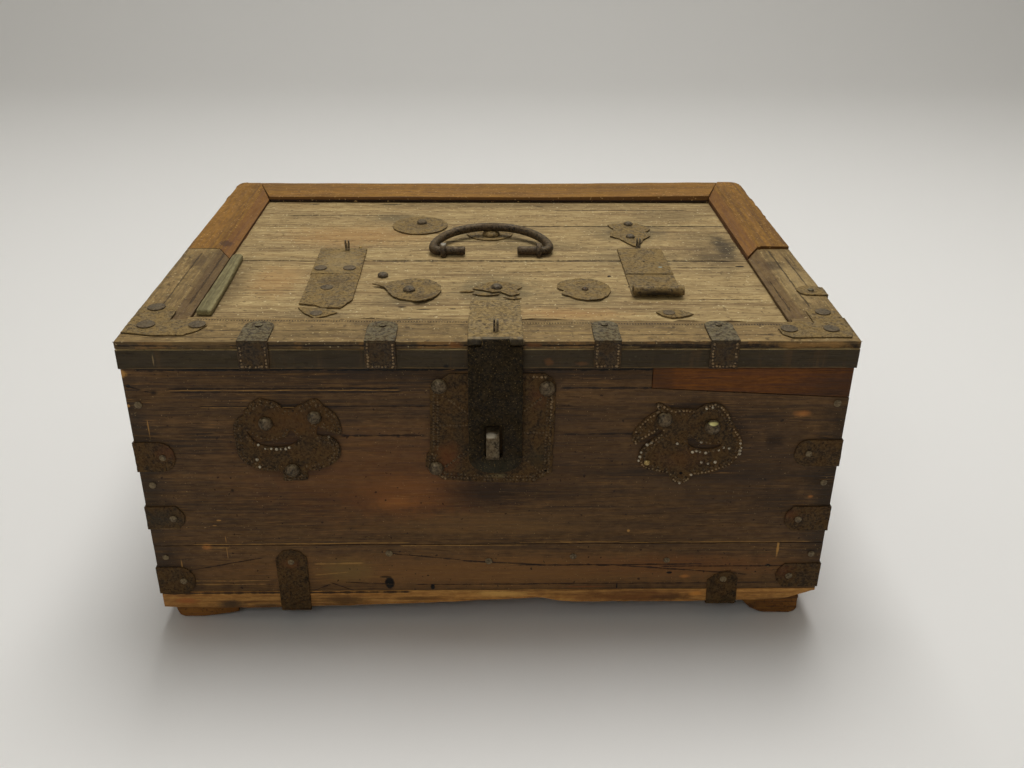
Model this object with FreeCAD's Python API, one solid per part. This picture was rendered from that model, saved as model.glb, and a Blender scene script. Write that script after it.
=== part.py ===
import FreeCAD, Part
import math
import os

# An iron-bound wooden dowry chest: a nailed box on four block feet, with a boarded lid
# framed by thin rails, a hinged hasp over a staple, and a bail handle on top.
# X runs to the right, the front faces -Y, Z is up, and the origin is the middle of the
# floor under the whole chest. All lengths are in millimetres.

Vector = FreeCAD.Vector

# Driving dimensions of the box
wall_height = 192
wall_thickness = 16
bottom_thickness = 11
foot_height = 17

# Driving dimensions of the lid, which the box follows
lid_width = 510
lid_depth = 391
side_overhang = 1
lid_board_thickness = 15
frame_thickness = 6
front_rail_width = 40
back_rail_width = 49
stile_width = 39
stile_step = 2
front_setback = 2
back_overhang = 7

# Fits shared by all pieces
seat_gap = 0.3
shank_clearance = 0.1
pin_clearance = 0.05
turning_gap = 0.4
overrun = 4

# Iron sheet and nails
sheet = 1.2
thin_sheet = 0.9
dome_radius = 5.5
dome_height = 3.6
small_dome_radius = 4.5
small_dome_height = 3
stud_radius = 3
stud_height = 1.2
flat_radius = 6.2
small_flat_radius = 5.1
flat_height = 1.6
shank_width = 2.4
shank_share = 0.6
head_sides = 8
head_crown_share = 0.55
dome_sides = 12
dome_ring_shares = ((1, 0), (0.82, 0.55), (0.45, 0.92), (0.2, 1))
bar_sides = 12
brass_radius = 2.2
brass_height = 1.4

# Lock plate, hasp and staple
hasp_centre = 3.5
hasp_width = 38
hasp_length = 103
hasp_thickness = 3
hasp_tip_rise = 12
slot_play_left = 0.85
slot_play_right = 2.15
slot_play_above = 2.2
slot_play_below = 1.4
slot_corner = 2
staple_centre = 1.55
staple_width = 9.4
staple_rod = 3.4
staple_height = 22
staple_drop = 69
staple_reach = 13.5
staple_bend = 5
staple_cover = 2
lock_plate_width = 91
lock_plate_height = 89
lock_plate_drop = 3.6
lock_plate_centre = 0.5

# Hasp hinge on the lid's front edge
hasp_knuckle_radius = 3
hasp_pin_radius = 1.2
hasp_knuckle_length = 9
hasp_axis_ahead = 1
hasp_axis_rise = 0.8
leaf_share = 0.22
leaf_relief_gap = 2.5

# Back hinges
hinge_spacing = 300
hinge_width = 25
hinge_plate = 1.6
hinge_knuckle_radius = 3.2
hinge_knuckle_length = 8
hinge_pin_radius = 1.4
lower_leaf_length = 72
upper_leaf_length = 64
hinge_tip_rise = 9

# Bail handle and its eyes
bail_centre = 1
bail_radius = 3.8
bail_half_width = 49.5
bail_reach = 51
bail_corner = 6
bail_side_radius = 32
bail_foot_tip = 22
bail_eye_offset = 40.5
bail_eye_width = 4.6
bail_eye_wall = 2.6
bail_lift = 0.5
bail_tilt = 5.0
bail_place_share = 0.4834

# Raised boss that the bail rests on
boss_plate_radius = 21
boss_radius = 8

# Iron straps
corner_strap_width = 24
corner_side_reach = 38
bottom_strap_width = 23
bottom_strap_gap_left = 33.9
bottom_strap_gap_right = 5.4
bottom_fold = 28
edge_strap_width = 20
edge_strap_reach = 33
side_strap_width = 18
side_strap_reach = 20
side_strap_drop = 15
top_strap_width = 39
top_strap_plate = 1.8
curl_radius = 5
cotter_width = 3.4
cotter_leg = 1.3
cotter_depth = 2
cotter_rise = 9

# Escutcheons
escutcheon_width = 79
escutcheon_height = 67
escutcheon_centre_share = 0.571
escutcheon_drop = 24.5

# Feet
foot_length = 51
foot_depth = 46
foot_inset = 6
foot_setback = 4
foot_toe = 2.5

# Depths of nails and of the staple's legs in the boards
shank_length = shank_share * min(wall_thickness, lid_board_thickness)
staple_spike = wall_thickness - staple_cover

# Levels, from the floor up
bottom_low = foot_height
bottom_high = bottom_low + bottom_thickness
wall_top = bottom_high + wall_height
lid_bottom = wall_top + seat_gap
panel_top = lid_bottom + lid_board_thickness
lid_top = panel_top + frame_thickness

# Depth places, from front to back; the staple's bow is the foremost point
whole_depth = lid_depth + staple_reach
lid_front = staple_reach - whole_depth / 2
lid_back = lid_front + lid_depth
body_front = lid_front + front_setback
body_back = lid_back - back_overhang
body_depth = body_back - body_front
inner_front = body_front + wall_thickness
inner_back = body_back - wall_thickness
body_side = lid_width / 2 - side_overhang
inner_side = body_side - wall_thickness
lid_side = lid_width / 2
frame_side = lid_side - stile_width
frame_front = lid_front + front_rail_width
frame_back = lid_back - back_rail_width

# Seams, joints and cracks, as shares of the size that they divide
board_seam_shares = (0.450, 0.688)
lower_plank_share = 0.226
back_plank_share = 0.55
stile_joint_share = 0.486
scribe_share = 0.045
mitre_run_share = 0.46
back_corner_share = 0.25
patch_start_share = 0.445
patch_depth_shares = (0.084, 0.123)
bevel_width_share = 0.29
bevel_depth_share = 0.5
parallel_share = 0.99

up = Vector(0, 0, 1)
right = Vector(1, 0, 0)
back = Vector(0, 1, 0)


def plank(x_span, y_span, z_span):
    """A squared board between three pairs of limits."""
    corner = Vector(x_span[0], y_span[0], z_span[0])
    length = x_span[1] - x_span[0]
    depth = y_span[1] - y_span[0]
    height = z_span[1] - z_span[0]
    return Part.makeBox(length, depth, height, corner)


def joined(pieces):
    """Several overlapping shapes as one solid."""
    return pieces[0].fuse(pieces[1:]).removeSplitter()


def without(shape, tools):
    """A shape less the tools that reach it."""
    near = [tool for tool in tools if tool.BoundBox.intersect(shape.BoundBox)]
    return shape.cut(near) if near else shape


def outline_face(start, legs):
    """A face whose edge is a line for each single point, an arc for each pair.

    A line closes it where the last leg ends away from the start."""
    edges = []
    here = start
    for leg in legs:
        if len(leg) == 1:
            edges.append(Part.LineSegment(here, leg[0]).toShape())
        else:
            edges.append(Part.Arc(here, leg[0], leg[1]).toShape())
        here = leg[-1]
    if here.distanceToPoint(start) > 0:
        edges.append(Part.LineSegment(here, start).toShape())
    return Part.Face(Part.Wire(edges))


def polygon_prism(points, depth):
    """A straight-edged face pushed along a vector."""
    face = Part.Face(Part.makePolygon(points + [points[0]]))
    return face.extrude(depth)


def tongue(root, along, across, length, width, rise, depth):
    """A strip that ends in an arched tip; rise is the height of the arch."""
    half = across * (width / 2)
    shoulder = root + along * (length - rise)
    tip = root + along * length
    legs = [(shoulder + half,), (tip, shoulder - half), (root - half,)]
    return outline_face(root + half, legs).extrude(depth)


def clipped_tongue(root, along, across, length, width, clip, depth):
    """A strip with a rounded tip and two corners clipped off."""
    half = across * (width / 2)
    shoulder = root + along * (length - clip)
    inset = across * (width / 2 - clip)
    tip_side = root + along * (length - clip / 4)
    tip = root + along * length
    legs = [
        (shoulder + half,),
        (tip_side + inset,),
        (tip, tip_side - inset),
        (shoulder - half,),
        (root - half,),
    ]
    return outline_face(root + half, legs).extrude(depth)


def cylinder(radius, length, centre, axis):
    """A round bar from centre along the axis."""
    return Part.makeCylinder(radius, length, centre, axis)


def polygon_ring(radius, level, sides):
    """A level ring of straight sides about the upright axis."""
    corners = []
    for index in range(sides + 1):
        angle = 2 * math.pi * index / sides
        corners.append(Vector(radius * math.cos(angle), radius * math.sin(angle), level))
    return Part.makePolygon(corners)


def forged_head(radius, height):
    """A low nail head, hammered to flat faces."""
    crown = radius * head_crown_share
    rings = [polygon_ring(radius, 0, head_sides), polygon_ring(crown, height, head_sides)]
    return Part.makeLoft(rings, True, True)


def domed_head(radius, height):
    """A dome beaten up in rings of flat faces."""
    rings = []
    for radius_share, height_share in dome_ring_shares:
        rings.append(polygon_ring(radius * radius_share, height * height_share, dome_sides))
    return Part.makeLoft(rings, True, True)


def placed(shape, seat, outward):
    """A shape made upright at the origin, moved to its seat."""
    shape.Placement = FreeCAD.Placement(seat, FreeCAD.Rotation(up, outward))
    return shape


def nail(seat, outward, head):
    """A driven nail: its head on the seat, its square shank behind it."""
    half = shank_width / 2
    shank = plank((-half, half), (-half, half), (-shank_length, seat_gap))
    return placed(joined([heads[head](), shank]), seat, outward)


def nail_hole(seat, outward):
    """The square hole that a nail's shank fills."""
    half = shank_width / 2 + shank_clearance
    deep = shank_length + shank_clearance
    return placed(plank((-half, half), (-half, half), (-deep, overrun)), seat, outward)


# The kinds of nail head
heads = {
    "dome": lambda: domed_head(dome_radius, dome_height),
    "small dome": lambda: domed_head(small_dome_radius, small_dome_height),
    "stud": lambda: forged_head(stud_radius, stud_height),
    "flat": lambda: forged_head(flat_radius, flat_height),
    "small flat": lambda: forged_head(small_flat_radius, flat_height),
    "brass": lambda: forged_head(brass_radius, brass_height),
}


def on_front(x_share, drop_share, ahead=0):
    """A place on the front board, by shares of its half width and its height."""
    x = x_share * body_side
    z = wall_top - drop_share * wall_height
    return Vector(x, body_front - ahead, z)


def on_lid(x_share, y_share, level):
    """A place on the lid, by shares of its half width and its depth."""
    return Vector(x_share * lid_side, lid_front + y_share * lid_depth, level)


# Nails in the front board: shares of its half width and height
carcass_nail_shares = [(0.968, 0.145), (0.968, 0.490), (0.968, 0.826)]
plank_nail_shares = [(-0.304, 0.812), (-0.006, 0.853), (0.248, 0.832), (0.531, 0.853)]


def carcass_nails():
    """Nails through the front board into the side boards and along the lower plank."""
    places = []
    for x_share, drop_share in carcass_nail_shares:
        places.append(on_front(-x_share, drop_share))
        places.append(on_front(x_share, drop_share))
    for x_share, drop_share in plank_nail_shares:
        places.append(on_front(x_share, drop_share))
    return [(place, back * -1, "stud") for place in places]


# Corner straps: name, side, drop share, width share, reach in millimetres
strap_reach_left = 27.5
strap_reach_right = 33
corner_strap_shares = [
    ("corner_strap_left_top", -1, 0.366, 1.02),
    ("corner_strap_left_middle", -1, 0.639, 0.83),
    ("corner_strap_left_bottom", -1, 0.938, 1.02),
    ("corner_strap_right_top", 1, 0.358, 0.92),
    ("corner_strap_right_middle", 1, 0.655, 0.90),
    ("corner_strap_right_bottom", 1, 0.929, 0.92),
]
corner_strap_nail_share = 0.3


def corner_strap(side, drop_share, width_share):
    """One bent strap round a front corner, with its two nails."""
    reach = strap_reach_right if side > 0 else strap_reach_left
    width = corner_strap_width * width_share
    clip = width / 4
    z = wall_top - drop_share * wall_height
    edge = side * (body_side + sheet)
    front_root = Vector(edge, body_front, z)
    inward = right * -side
    front_leg = clipped_tongue(front_root, inward, up, reach + sheet, width, clip, back * -sheet)
    side_root = Vector(side * body_side, body_front - sheet, z)
    outward = right * side
    side_leg = tongue(side_root, back, up, corner_side_reach + sheet, width, clip, outward * sheet)
    run = reach * (1 - corner_strap_nail_share)
    front_nail = Vector(side * (body_side - run), body_front - sheet, z)
    side_run = corner_side_reach * (1 - corner_strap_nail_share)
    side_nail = Vector(edge, body_front + side_run, z)
    nails = [
        (front_nail, back * -1, "stud"),
        (side_nail, outward, "stud"),
    ]
    return joined([front_leg, side_leg]), nails


# Bottom straps: name, side, gap to the foot, share of the wall height, tip rise share
bottom_strap_shares = [
    ("bottom_strap_left", -1, bottom_strap_gap_left, 0.793, 0.4),
    ("bottom_strap_right", 1, bottom_strap_gap_right, 0.898, 0.32),
]


def bottom_strap(side, foot_gap, drop_share, rise_share):
    """One strap up the front board and folded under the bottom board, beside a foot."""
    foot_end = body_side - foot_inset - foot_length
    x = side * (foot_end - foot_gap - bottom_strap_width / 2)
    top = Vector(x, body_front, wall_top - drop_share * wall_height)
    low = bottom_low - sheet
    height = top.z - low
    rise = bottom_strap_width * rise_share
    root = Vector(top.x, body_front, low)
    front_leg = tongue(root, up, right, height, bottom_strap_width, rise, back * -sheet)
    fold_root = Vector(top.x, body_front - sheet, low)
    fold = tongue(fold_root, back, right, bottom_fold + sheet, bottom_strap_width, rise, up * sheet)
    seat = Vector(top.x, body_front - sheet, top.z - rise - stud_radius / 2)
    under = Vector(top.x, body_front + bottom_fold / 2, low)
    return joined([front_leg, fold]), [(seat, back * -1, "stud"), (under, up * -1, "stud")]


# Outline of the lock plate, as shares of its width and height from its top left corner
lock_plate_shares = [
    (0.183, 0.0), (0.046, 0.096), (0.030, 0.146), (0.023, 0.685), (0.0, 0.742),
    (0.005, 0.837), (0.106, 0.966), (0.477, 1.0), (0.853, 1.0), (0.986, 0.904),
    (1.0, 0.10), (0.963, 0.034), (0.908, 0.0),
]
lock_nail_shares = [(0.102, 0.105), (0.930, 0.125), (0.062, 0.853)]


def lock_place(u_share, v_share, ahead):
    """A place on the lock plate, by shares of its width and height."""
    left = lock_plate_centre - lock_plate_width / 2
    x = left + u_share * lock_plate_width
    z = wall_top - lock_plate_drop - v_share * lock_plate_height
    return Vector(x, body_front - ahead, z)


def lock_plate():
    """The plate behind the hasp, with slots for the staple's two legs."""
    points = [lock_place(u_share, v_share, 0) for u_share, v_share in lock_plate_shares]
    plate = polygon_prism(points, back * -sheet)
    return without(plate, staple_slots())


def staple_levels():
    """Top and bottom of the staple's bow."""
    top = lid_top - staple_drop
    return top, top - staple_height


def staple_slots():
    """Holes for the staple's legs through the plate and into the board."""
    top, low = staple_levels()
    half = staple_width / 2 + shank_clearance
    x_span = (staple_centre - half, staple_centre + half)
    y_span = (body_front - sheet - overrun, body_front + staple_spike + shank_clearance)
    slots = []
    for level in (top - staple_rod, low):
        z_span = (level - shank_clearance, level + staple_rod + shank_clearance)
        slots.append(plank(x_span, y_span, z_span))
    return slots


def lock_staple():
    """A flat bar bent to a bow with rounded corners, its legs driven into the board."""
    top, low = staple_levels()
    reach = lid_front - staple_reach
    deep = body_front + staple_spike
    half = staple_width / 2
    diagonal = math.sqrt(2)

    def bow(inset):
        bend = staple_bend - inset
        short = bend * (1 - 1 / diagonal)
        x = staple_centre - half
        front, high, base = reach + inset, top - inset, low + inset
        return outline_face(Vector(x, deep, high), [
            (Vector(x, front + bend, high),),
            (Vector(x, front + short, high - short), Vector(x, front, high - bend)),
            (Vector(x, front, base + bend),),
            (Vector(x, front + short, base + short), Vector(x, front + bend, base)),
            (Vector(x, deep, base),),
        ]).extrude(right * staple_width)

    return bow(0).cut(bow(staple_rod))


# Outline of the left escutcheon and its crescent, as shares of its width and height
left_start_shares = (0.769, 0.410)
left_outline_shares = [
    ((1.000, 0.418),), ((0.962, 0.239), (0.853, 0.075)), ((0.744, 0.0), (0.641, 0.030)),
    ((0.538, 0.104), (0.462, 0.067)), ((0.308, 0.0), (0.115, 0.127)),
    ((0.0, 0.400), (0.040, 0.690)), ((0.128, 0.806), (0.282, 0.873)), ((0.423, 0.881),),
    ((0.436, 1.0),), ((0.660, 1.0),), ((0.673, 0.881),), ((0.910, 0.790), (0.987, 0.612)),
    ((0.950, 0.480),),
]
left_crescent_start_shares = (0.141, 0.388)
left_crescent_shares = [
    ((0.256, 0.537), (0.397, 0.582)), ((0.513, 0.560), (0.603, 0.463)), ((0.538, 0.358),),
    ((0.487, 0.463),), ((0.346, 0.507), (0.141, 0.388)),
]
left_nail_shares = [(0.323, 0.257), (0.767, 0.199), (0.522, 0.850)]

# Outline of the right escutcheon and its crescent
right_start_shares = (0.256, 0.348)
right_outline_shares = [
    ((0.134, 0.418), (0.024, 0.537)), ((0.0, 0.396), (0.049, 0.246)),
    ((0.110, 0.149), (0.195, 0.090)), ((0.232, 0.003), (0.305, 0.045)), ((0.366, 0.082),),
    ((0.451, 0.094), (0.549, 0.067)), ((0.671, 0.0), (0.805, 0.112)),
    ((0.927, 0.276), (0.988, 0.470)), ((0.970, 0.664), (0.841, 0.813)),
    ((0.707, 0.873), (0.561, 0.896)), ((0.463, 1.0), (0.360, 0.888)),
    ((0.220, 0.843), (0.098, 0.776)), ((0.046, 0.634), (0.134, 0.493)), ((0.274, 0.378),),
]
right_crescent_start_shares = (0.500, 0.410)
right_crescent_shares = [
    ((0.490, 0.500),), ((0.622, 0.590), (0.793, 0.530)), ((0.799, 0.485),),
    ((0.646, 0.500), (0.500, 0.410)),
]
right_nail_shares = [(0.268, 0.181), (0.695, 0.267)]
right_brass_shares = (0.144, 0.712)


def escutcheon_place(side, share_pair, ahead=0):
    """A place on an escutcheon, by shares of its width and height."""
    left = side * escutcheon_centre_share * body_side - escutcheon_width / 2
    x = left + share_pair[0] * escutcheon_width
    z = wall_top - escutcheon_drop - share_pair[1] * escutcheon_height
    return Vector(x, body_front - ahead, z)


def escutcheon(side, start_shares, outline_shares, cut_start_shares, cut_shares):
    """A flat iron plate in a curling beaked outline, pierced by a crescent."""
    legs = [[escutcheon_place(side, pair) for pair in leg] for leg in outline_shares]
    plate = outline_face(escutcheon_place(side, start_shares), legs).extrude(back * -sheet)
    start = escutcheon_place(side, cut_start_shares, -overrun)
    legs = [[escutcheon_place(side, pair, -overrun) for pair in leg] for leg in cut_shares]
    return plate.cut(outline_face(start, legs).extrude(back * -(sheet + 2 * overrun)))


def dome_nails():
    """The domed nails of the lock plate and the two escutcheons."""
    seats = [lock_place(u_share, v_share, sheet) for u_share, v_share in lock_nail_shares]
    seats += [escutcheon_place(-1, pair, sheet) for pair in left_nail_shares]
    seats += [escutcheon_place(1, pair, sheet) for pair in right_nail_shares]
    nails = [(seat, back * -1, "dome") for seat in seats]
    pin = escutcheon_place(1, right_brass_shares, sheet)
    return nails + [(pin, back * -1, "brass")]


def hasp_axis():
    """The line that the hasp swings about."""
    return Vector(0, lid_front - hasp_axis_ahead, lid_top + hasp_axis_rise)


def hasp_spans():
    """The hasp's sides, and the sides of its own middle knuckle."""
    left = hasp_centre - hasp_width / 2
    end = hasp_centre + hasp_width / 2
    inner_left = left + hasp_knuckle_length + seat_gap
    inner_end = end - hasp_knuckle_length - seat_gap
    return left, inner_left, inner_end, end


def hasp():
    """A slotted strap with a rounded foot, rolled to one knuckle at the top."""
    axis = hasp_axis()
    left, inner_left, inner_end, end = hasp_spans()
    front = axis.y - hasp_knuckle_radius
    top = axis.z - hasp_knuckle_radius - turning_gap
    low = lid_top - hasp_length
    shoulder = low + hasp_tip_rise
    face = outline_face(Vector(left, front, top), [
        (Vector(left, front, shoulder),),
        (Vector(hasp_centre, front, low), Vector(end, front, shoulder)),
        (Vector(end, front, top),),
    ])
    blade = face.extrude(back * hasp_thickness)
    neck = plank((inner_left, inner_end), (front, front + hasp_thickness), (top - slot_corner, axis.z))
    knuckle = cylinder(hasp_knuckle_radius, inner_end - inner_left, Vector(inner_left, axis.y, axis.z), right)
    bore_length = inner_end - inner_left + 2 * overrun
    bore_start = Vector(inner_left - overrun, axis.y, axis.z)
    bore = cylinder(hasp_pin_radius + pin_clearance, bore_length, bore_start, right)
    staple_top, staple_low = staple_levels()
    half = staple_width / 2
    slot_x = (staple_centre - half - slot_play_left, staple_centre + half + slot_play_right)
    slot_y = (front - overrun, front + hasp_thickness + overrun)
    slot_z = (staple_low - slot_play_below, staple_top + slot_play_above)
    slot = plank(slot_x, slot_y, slot_z)
    upright = [edge for edge in slot.Edges if is_along(edge, back)]
    slot = slot.makeFillet(slot_corner, upright)
    return joined([blade, neck, knuckle]).cut([bore, slot])


def is_along(edge, direction):
    """True for a straight edge parallel to the direction."""
    run = edge.Vertexes[-1].Point - edge.Vertexes[0].Point
    return abs(run.dot(direction)) > parallel_share * run.Length


def hasp_leaf():
    """The strap on the lid that carries the hasp: two knuckles, a step down, a tail."""
    axis = hasp_axis()
    left, inner_left, inner_end, end = hasp_spans()
    start = axis.y
    step = frame_front
    finish = lid_front + leaf_share * lid_depth
    flat = plank((left, end), (start, step + thin_sheet), (lid_top, lid_top + sheet))
    riser = plank((left, end), (step, step + thin_sheet), (panel_top, lid_top + sheet))
    tail = plank((left, end), (step, finish), (panel_top, panel_top + thin_sheet))
    knuckles = []
    bore_length = hasp_width + 2 * overrun
    for low_end in (left, end - hasp_knuckle_length):
        centre = Vector(low_end, axis.y, axis.z)
        knuckles.append(cylinder(hasp_knuckle_radius, hasp_knuckle_length, centre, right))
    body = joined([flat, riser, tail] + knuckles)
    relief_x = (inner_left - seat_gap, inner_end + seat_gap)
    relief_z = (axis.z - hasp_knuckle_radius - overrun, axis.z + hasp_knuckle_radius + overrun)
    relief_back = start + hasp_knuckle_radius + leaf_relief_gap
    relief = plank(relief_x, (start - hasp_knuckle_radius - overrun, relief_back), relief_z)
    bore_start = Vector(left - overrun, axis.y, axis.z)
    bore = cylinder(hasp_pin_radius + pin_clearance, bore_length, bore_start, right)
    return body.cut([relief, bore])


def hasp_pin():
    """The pin through the hasp's three knuckles."""
    axis = hasp_axis()
    left = hasp_spans()[0]
    return cylinder(hasp_pin_radius, hasp_width, Vector(left, axis.y, axis.z), right)


def hasp_seat():
    """The hollow in the lid's front edge that the knuckles lie in."""
    axis = hasp_axis()
    left = hasp_spans()[0] - seat_gap
    length = hasp_width + 2 * seat_gap
    return cylinder(hasp_knuckle_radius + turning_gap, length, Vector(left, axis.y, axis.z), right)


def hinge_axis():
    """The line that the lid turns about, midway through both hinge plates."""
    half = hinge_plate / 2
    return Vector(0, body_back + half, lid_bottom - half)


def hinge_parts(side):
    """One back hinge: its leaf on the box, its leaf under the lid, and its pin."""
    axis = hinge_axis()
    middle = side * hinge_spacing / 2
    left = middle - hinge_width / 2
    end = middle + hinge_width / 2
    inner_left = left + hinge_knuckle_length
    inner_end = end - hinge_knuckle_length
    bore_start = Vector(left - overrun, axis.y, axis.z)
    bore = cylinder(hinge_pin_radius + pin_clearance, hinge_width + 2 * overrun, bore_start, right)
    clear = hinge_knuckle_radius + turning_gap

    foot = Vector(middle, body_back, axis.z)
    down = up * -1
    plate = tongue(foot, down, right, lower_leaf_length, hinge_width, hinge_tip_rise, back * hinge_plate)
    outer = []
    for start in (left, inner_end):
        centre = Vector(start, axis.y, axis.z)
        outer.append(cylinder(hinge_knuckle_radius, hinge_knuckle_length, centre, right))
    free_y = (axis.y - clear, axis.y + clear)
    free_z = (axis.z - clear, axis.z + clear)
    relief = plank((inner_left, inner_end), free_y, free_z)
    lower = joined([plate] + outer).cut([relief, bore])

    forward = back * -1
    root = Vector(middle, axis.y, lid_bottom - hinge_plate)
    plate = tongue(root, forward, right, upper_leaf_length, hinge_width, hinge_tip_rise, up * hinge_plate)
    rim = seat_gap
    centre = Vector(inner_left + rim, axis.y, axis.z)
    knuckle = cylinder(hinge_knuckle_radius, inner_end - inner_left - 2 * rim, centre, right)
    neck_free = []
    for x_span in ((left - overrun, inner_left + rim), (inner_end - rim, end + overrun)):
        neck_free.append(plank(x_span, free_y, free_z))
    upper = joined([plate, knuckle]).cut(neck_free + [bore])

    pin = cylinder(hinge_pin_radius, hinge_width, Vector(left, axis.y, axis.z), right)
    return lower, upper, pin


hinge_nail_shares = (0.35, 0.65)


def hinge_nails(side):
    """Nails of one back hinge: those in the box, and those in the lid."""
    axis = hinge_axis()
    x = side * hinge_spacing / 2
    lower = []
    upper = []
    for run_share in hinge_nail_shares:
        seat = Vector(x, body_back + hinge_plate, axis.z - run_share * lower_leaf_length)
        lower.append((seat, back, "stud"))
        inside = inner_back - run_share * (upper_leaf_length - wall_thickness)
        seat = Vector(x, inside, lid_bottom - hinge_plate)
        upper.append((seat, up * -1, "stud"))
    return lower, upper


def hinge_recesses():
    """Cuts in the back board and the lid that let the hinges in."""
    axis = hinge_axis()
    clear = hinge_knuckle_radius + turning_gap
    in_board = []
    in_lid = []
    for side in (-1, 1):
        half = hinge_width / 2 + turning_gap
        x_span = (side * hinge_spacing / 2 - half, side * hinge_spacing / 2 + half)
        low = wall_top - hinge_plate
        in_board.append(plank(x_span, (inner_back - overrun, body_back + overrun), (low, wall_top + overrun)))
        corner_z = (axis.z - clear, wall_top + overrun)
        in_board.append(plank(x_span, (axis.y - clear, body_back + overrun), corner_z))
        lid_z = (lid_bottom - overrun, axis.z + clear)
        in_lid.append(plank(x_span, (axis.y - clear, lid_back + overrun), lid_z))
    return in_board, in_lid


def bail_axis():
    """The line that the bail swings about."""
    y = lid_front + bail_place_share * lid_depth
    return Vector(bail_centre, y, panel_top + bail_radius + bail_lift)


def bail():
    """A forged bar: a three-centred arch whose feet turn inwards through the eyes."""
    half = bail_half_width
    span = half - bail_side_radius
    rise = bail_reach - bail_corner
    crown_radius = (span ** 2 + rise ** 2 - bail_side_radius ** 2) / (2 * (rise - bail_side_radius))
    crown_centre = bail_reach - crown_radius
    lean = math.atan2(bail_corner - crown_centre, span)
    touch = Vector(
        span + bail_side_radius * math.cos(lean),
        bail_corner + bail_side_radius * math.sin(lean),
        0,
    )
    side_middle = Vector(
        span + bail_side_radius * math.cos(lean / 2),
        bail_corner + bail_side_radius * math.sin(lean / 2),
        0,
    )
    short = bail_corner * (1 - 1 / math.sqrt(2))
    bend_start = Vector(half - bail_corner, 0, 0)
    bend_middle = Vector(half - short, short, 0)
    bend_end = Vector(half, bail_corner, 0)
    tip = Vector(bail_foot_tip, 0, 0)
    crown = Vector(0, bail_reach, 0)

    def mirrored(point):
        return Vector(-point.x, point.y, point.z)

    path = Part.Wire([
        Part.LineSegment(tip, bend_start).toShape(),
        Part.Arc(bend_start, bend_middle, bend_end).toShape(),
        Part.Arc(bend_end, side_middle, touch).toShape(),
        Part.Arc(touch, crown, mirrored(touch)).toShape(),
        Part.Arc(mirrored(touch), mirrored(side_middle), mirrored(bend_end)).toShape(),
        Part.Arc(mirrored(bend_end), mirrored(bend_middle), mirrored(bend_start)).toShape(),
        Part.LineSegment(mirrored(bend_start), mirrored(tip)).toShape(),
    ])
    section = placed(polygon_ring(bail_radius, 0, bar_sides), tip, right)
    bar = path.makePipeShell([section], True, False)
    bar.rotate(Vector(0, 0, 0), right, bail_tilt)
    bar.translate(bail_axis())
    return bar


def bail_eye(side):
    """A staple over the bail's foot, with its legs down through the lid."""
    axis = bail_axis()
    bore = bail_radius + shank_clearance
    outside = bore + bail_eye_wall
    x = axis.x + side * bail_eye_offset - bail_eye_width / 2
    low = lid_bottom

    def arch(radius):
        return outline_face(Vector(x, axis.y - radius, low), [
            (Vector(x, axis.y - radius, axis.z),),
            (Vector(x, axis.y, axis.z + radius), Vector(x, axis.y + radius, axis.z)),
            (Vector(x, axis.y + radius, low),),
        ]).extrude(right * bail_eye_width)

    return arch(outside).cut(arch(bore))


def bail_eye_holes():
    """Slots through the lid board for the legs of the eyes."""
    axis = bail_axis()
    bore = bail_radius + shank_clearance
    holes = []
    for side in (-1, 1):
        x = axis.x + side * bail_eye_offset
        half = bail_eye_width / 2 + shank_clearance
        for leg in (-1, 1):
            near = axis.y + leg * bore
            far = axis.y + leg * (bore + bail_eye_wall)
            y_span = (min(near, far) - shank_clearance, max(near, far) + shank_clearance)
            holes.append(plank((x - half, x + half), y_span, (lid_bottom - overrun, panel_top + overrun)))
    return holes


# Round plates on the lid: centre by shares of the lid's half width and depth, radius
rosette_radius = 25
small_rosette_radius = 21
rosette_plate_shares = [
    (-0.251, 0.685, rosette_radius, False),
    (-0.243, 0.2685, rosette_radius, True),
    (0.286, 0.274, small_rosette_radius, True),
]
rosette_bite_share = 0.44


def rosettes():
    """Three thin round plates, the front ones with a bite lost from the rim."""
    plates = []
    for x_share, y_share, radius, bitten in rosette_plate_shares:
        centre = on_lid(x_share, y_share, panel_top)
        disc = cylinder(radius, thin_sheet, centre, up)
        if bitten:
            bite_centre = centre + Vector(-radius, -radius / 2, -overrun)
            bite = cylinder(radius * rosette_bite_share, thin_sheet + 2 * overrun, bite_centre, up)
            disc = disc.cut(bite)
        plates.append(disc)
    return plates


# What is left of two more plates: centre by shares of the lid, outline by shares of its size
front_remnant_width = 38
front_remnant_depth = 26
flower_remnant_width = 36
flower_remnant_depth = 54
front_remnant_shares = [(-0.5, 0.05), (-0.2, 0.45), (0.25, 0.5), (0.5, 0.1), (0.3, -0.5), (-0.1, -0.2)]
flower_remnant_shares = [
    (-0.5, 0.25), (-0.25, 0.5), (0.35, 0.48), (0.3, 0.15), (0.5, -0.1), (0.15, -0.2), (-0.15, -0.5),
    (-0.3, -0.25), (-0.5, -0.15), (-0.2, 0.1),
]
remnant_shares = [
    (0.020, 0.279, front_remnant_width, front_remnant_depth, front_remnant_shares),
    (0.500, 0.614, flower_remnant_width, flower_remnant_depth, flower_remnant_shares),
]


def rosette_remnants():
    """Two broken plates with only part of their outline left."""
    shapes = []
    for x_share, y_share, width, depth, shares in remnant_shares:
        centre = on_lid(x_share, y_share, panel_top)
        points = [centre + Vector(width * u, depth * v, 0) for u, v in shares]
        shapes.append(polygon_prism(points, up * thin_sheet))
    return shapes


boss_place_shares = (0.0, 0.634)


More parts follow.
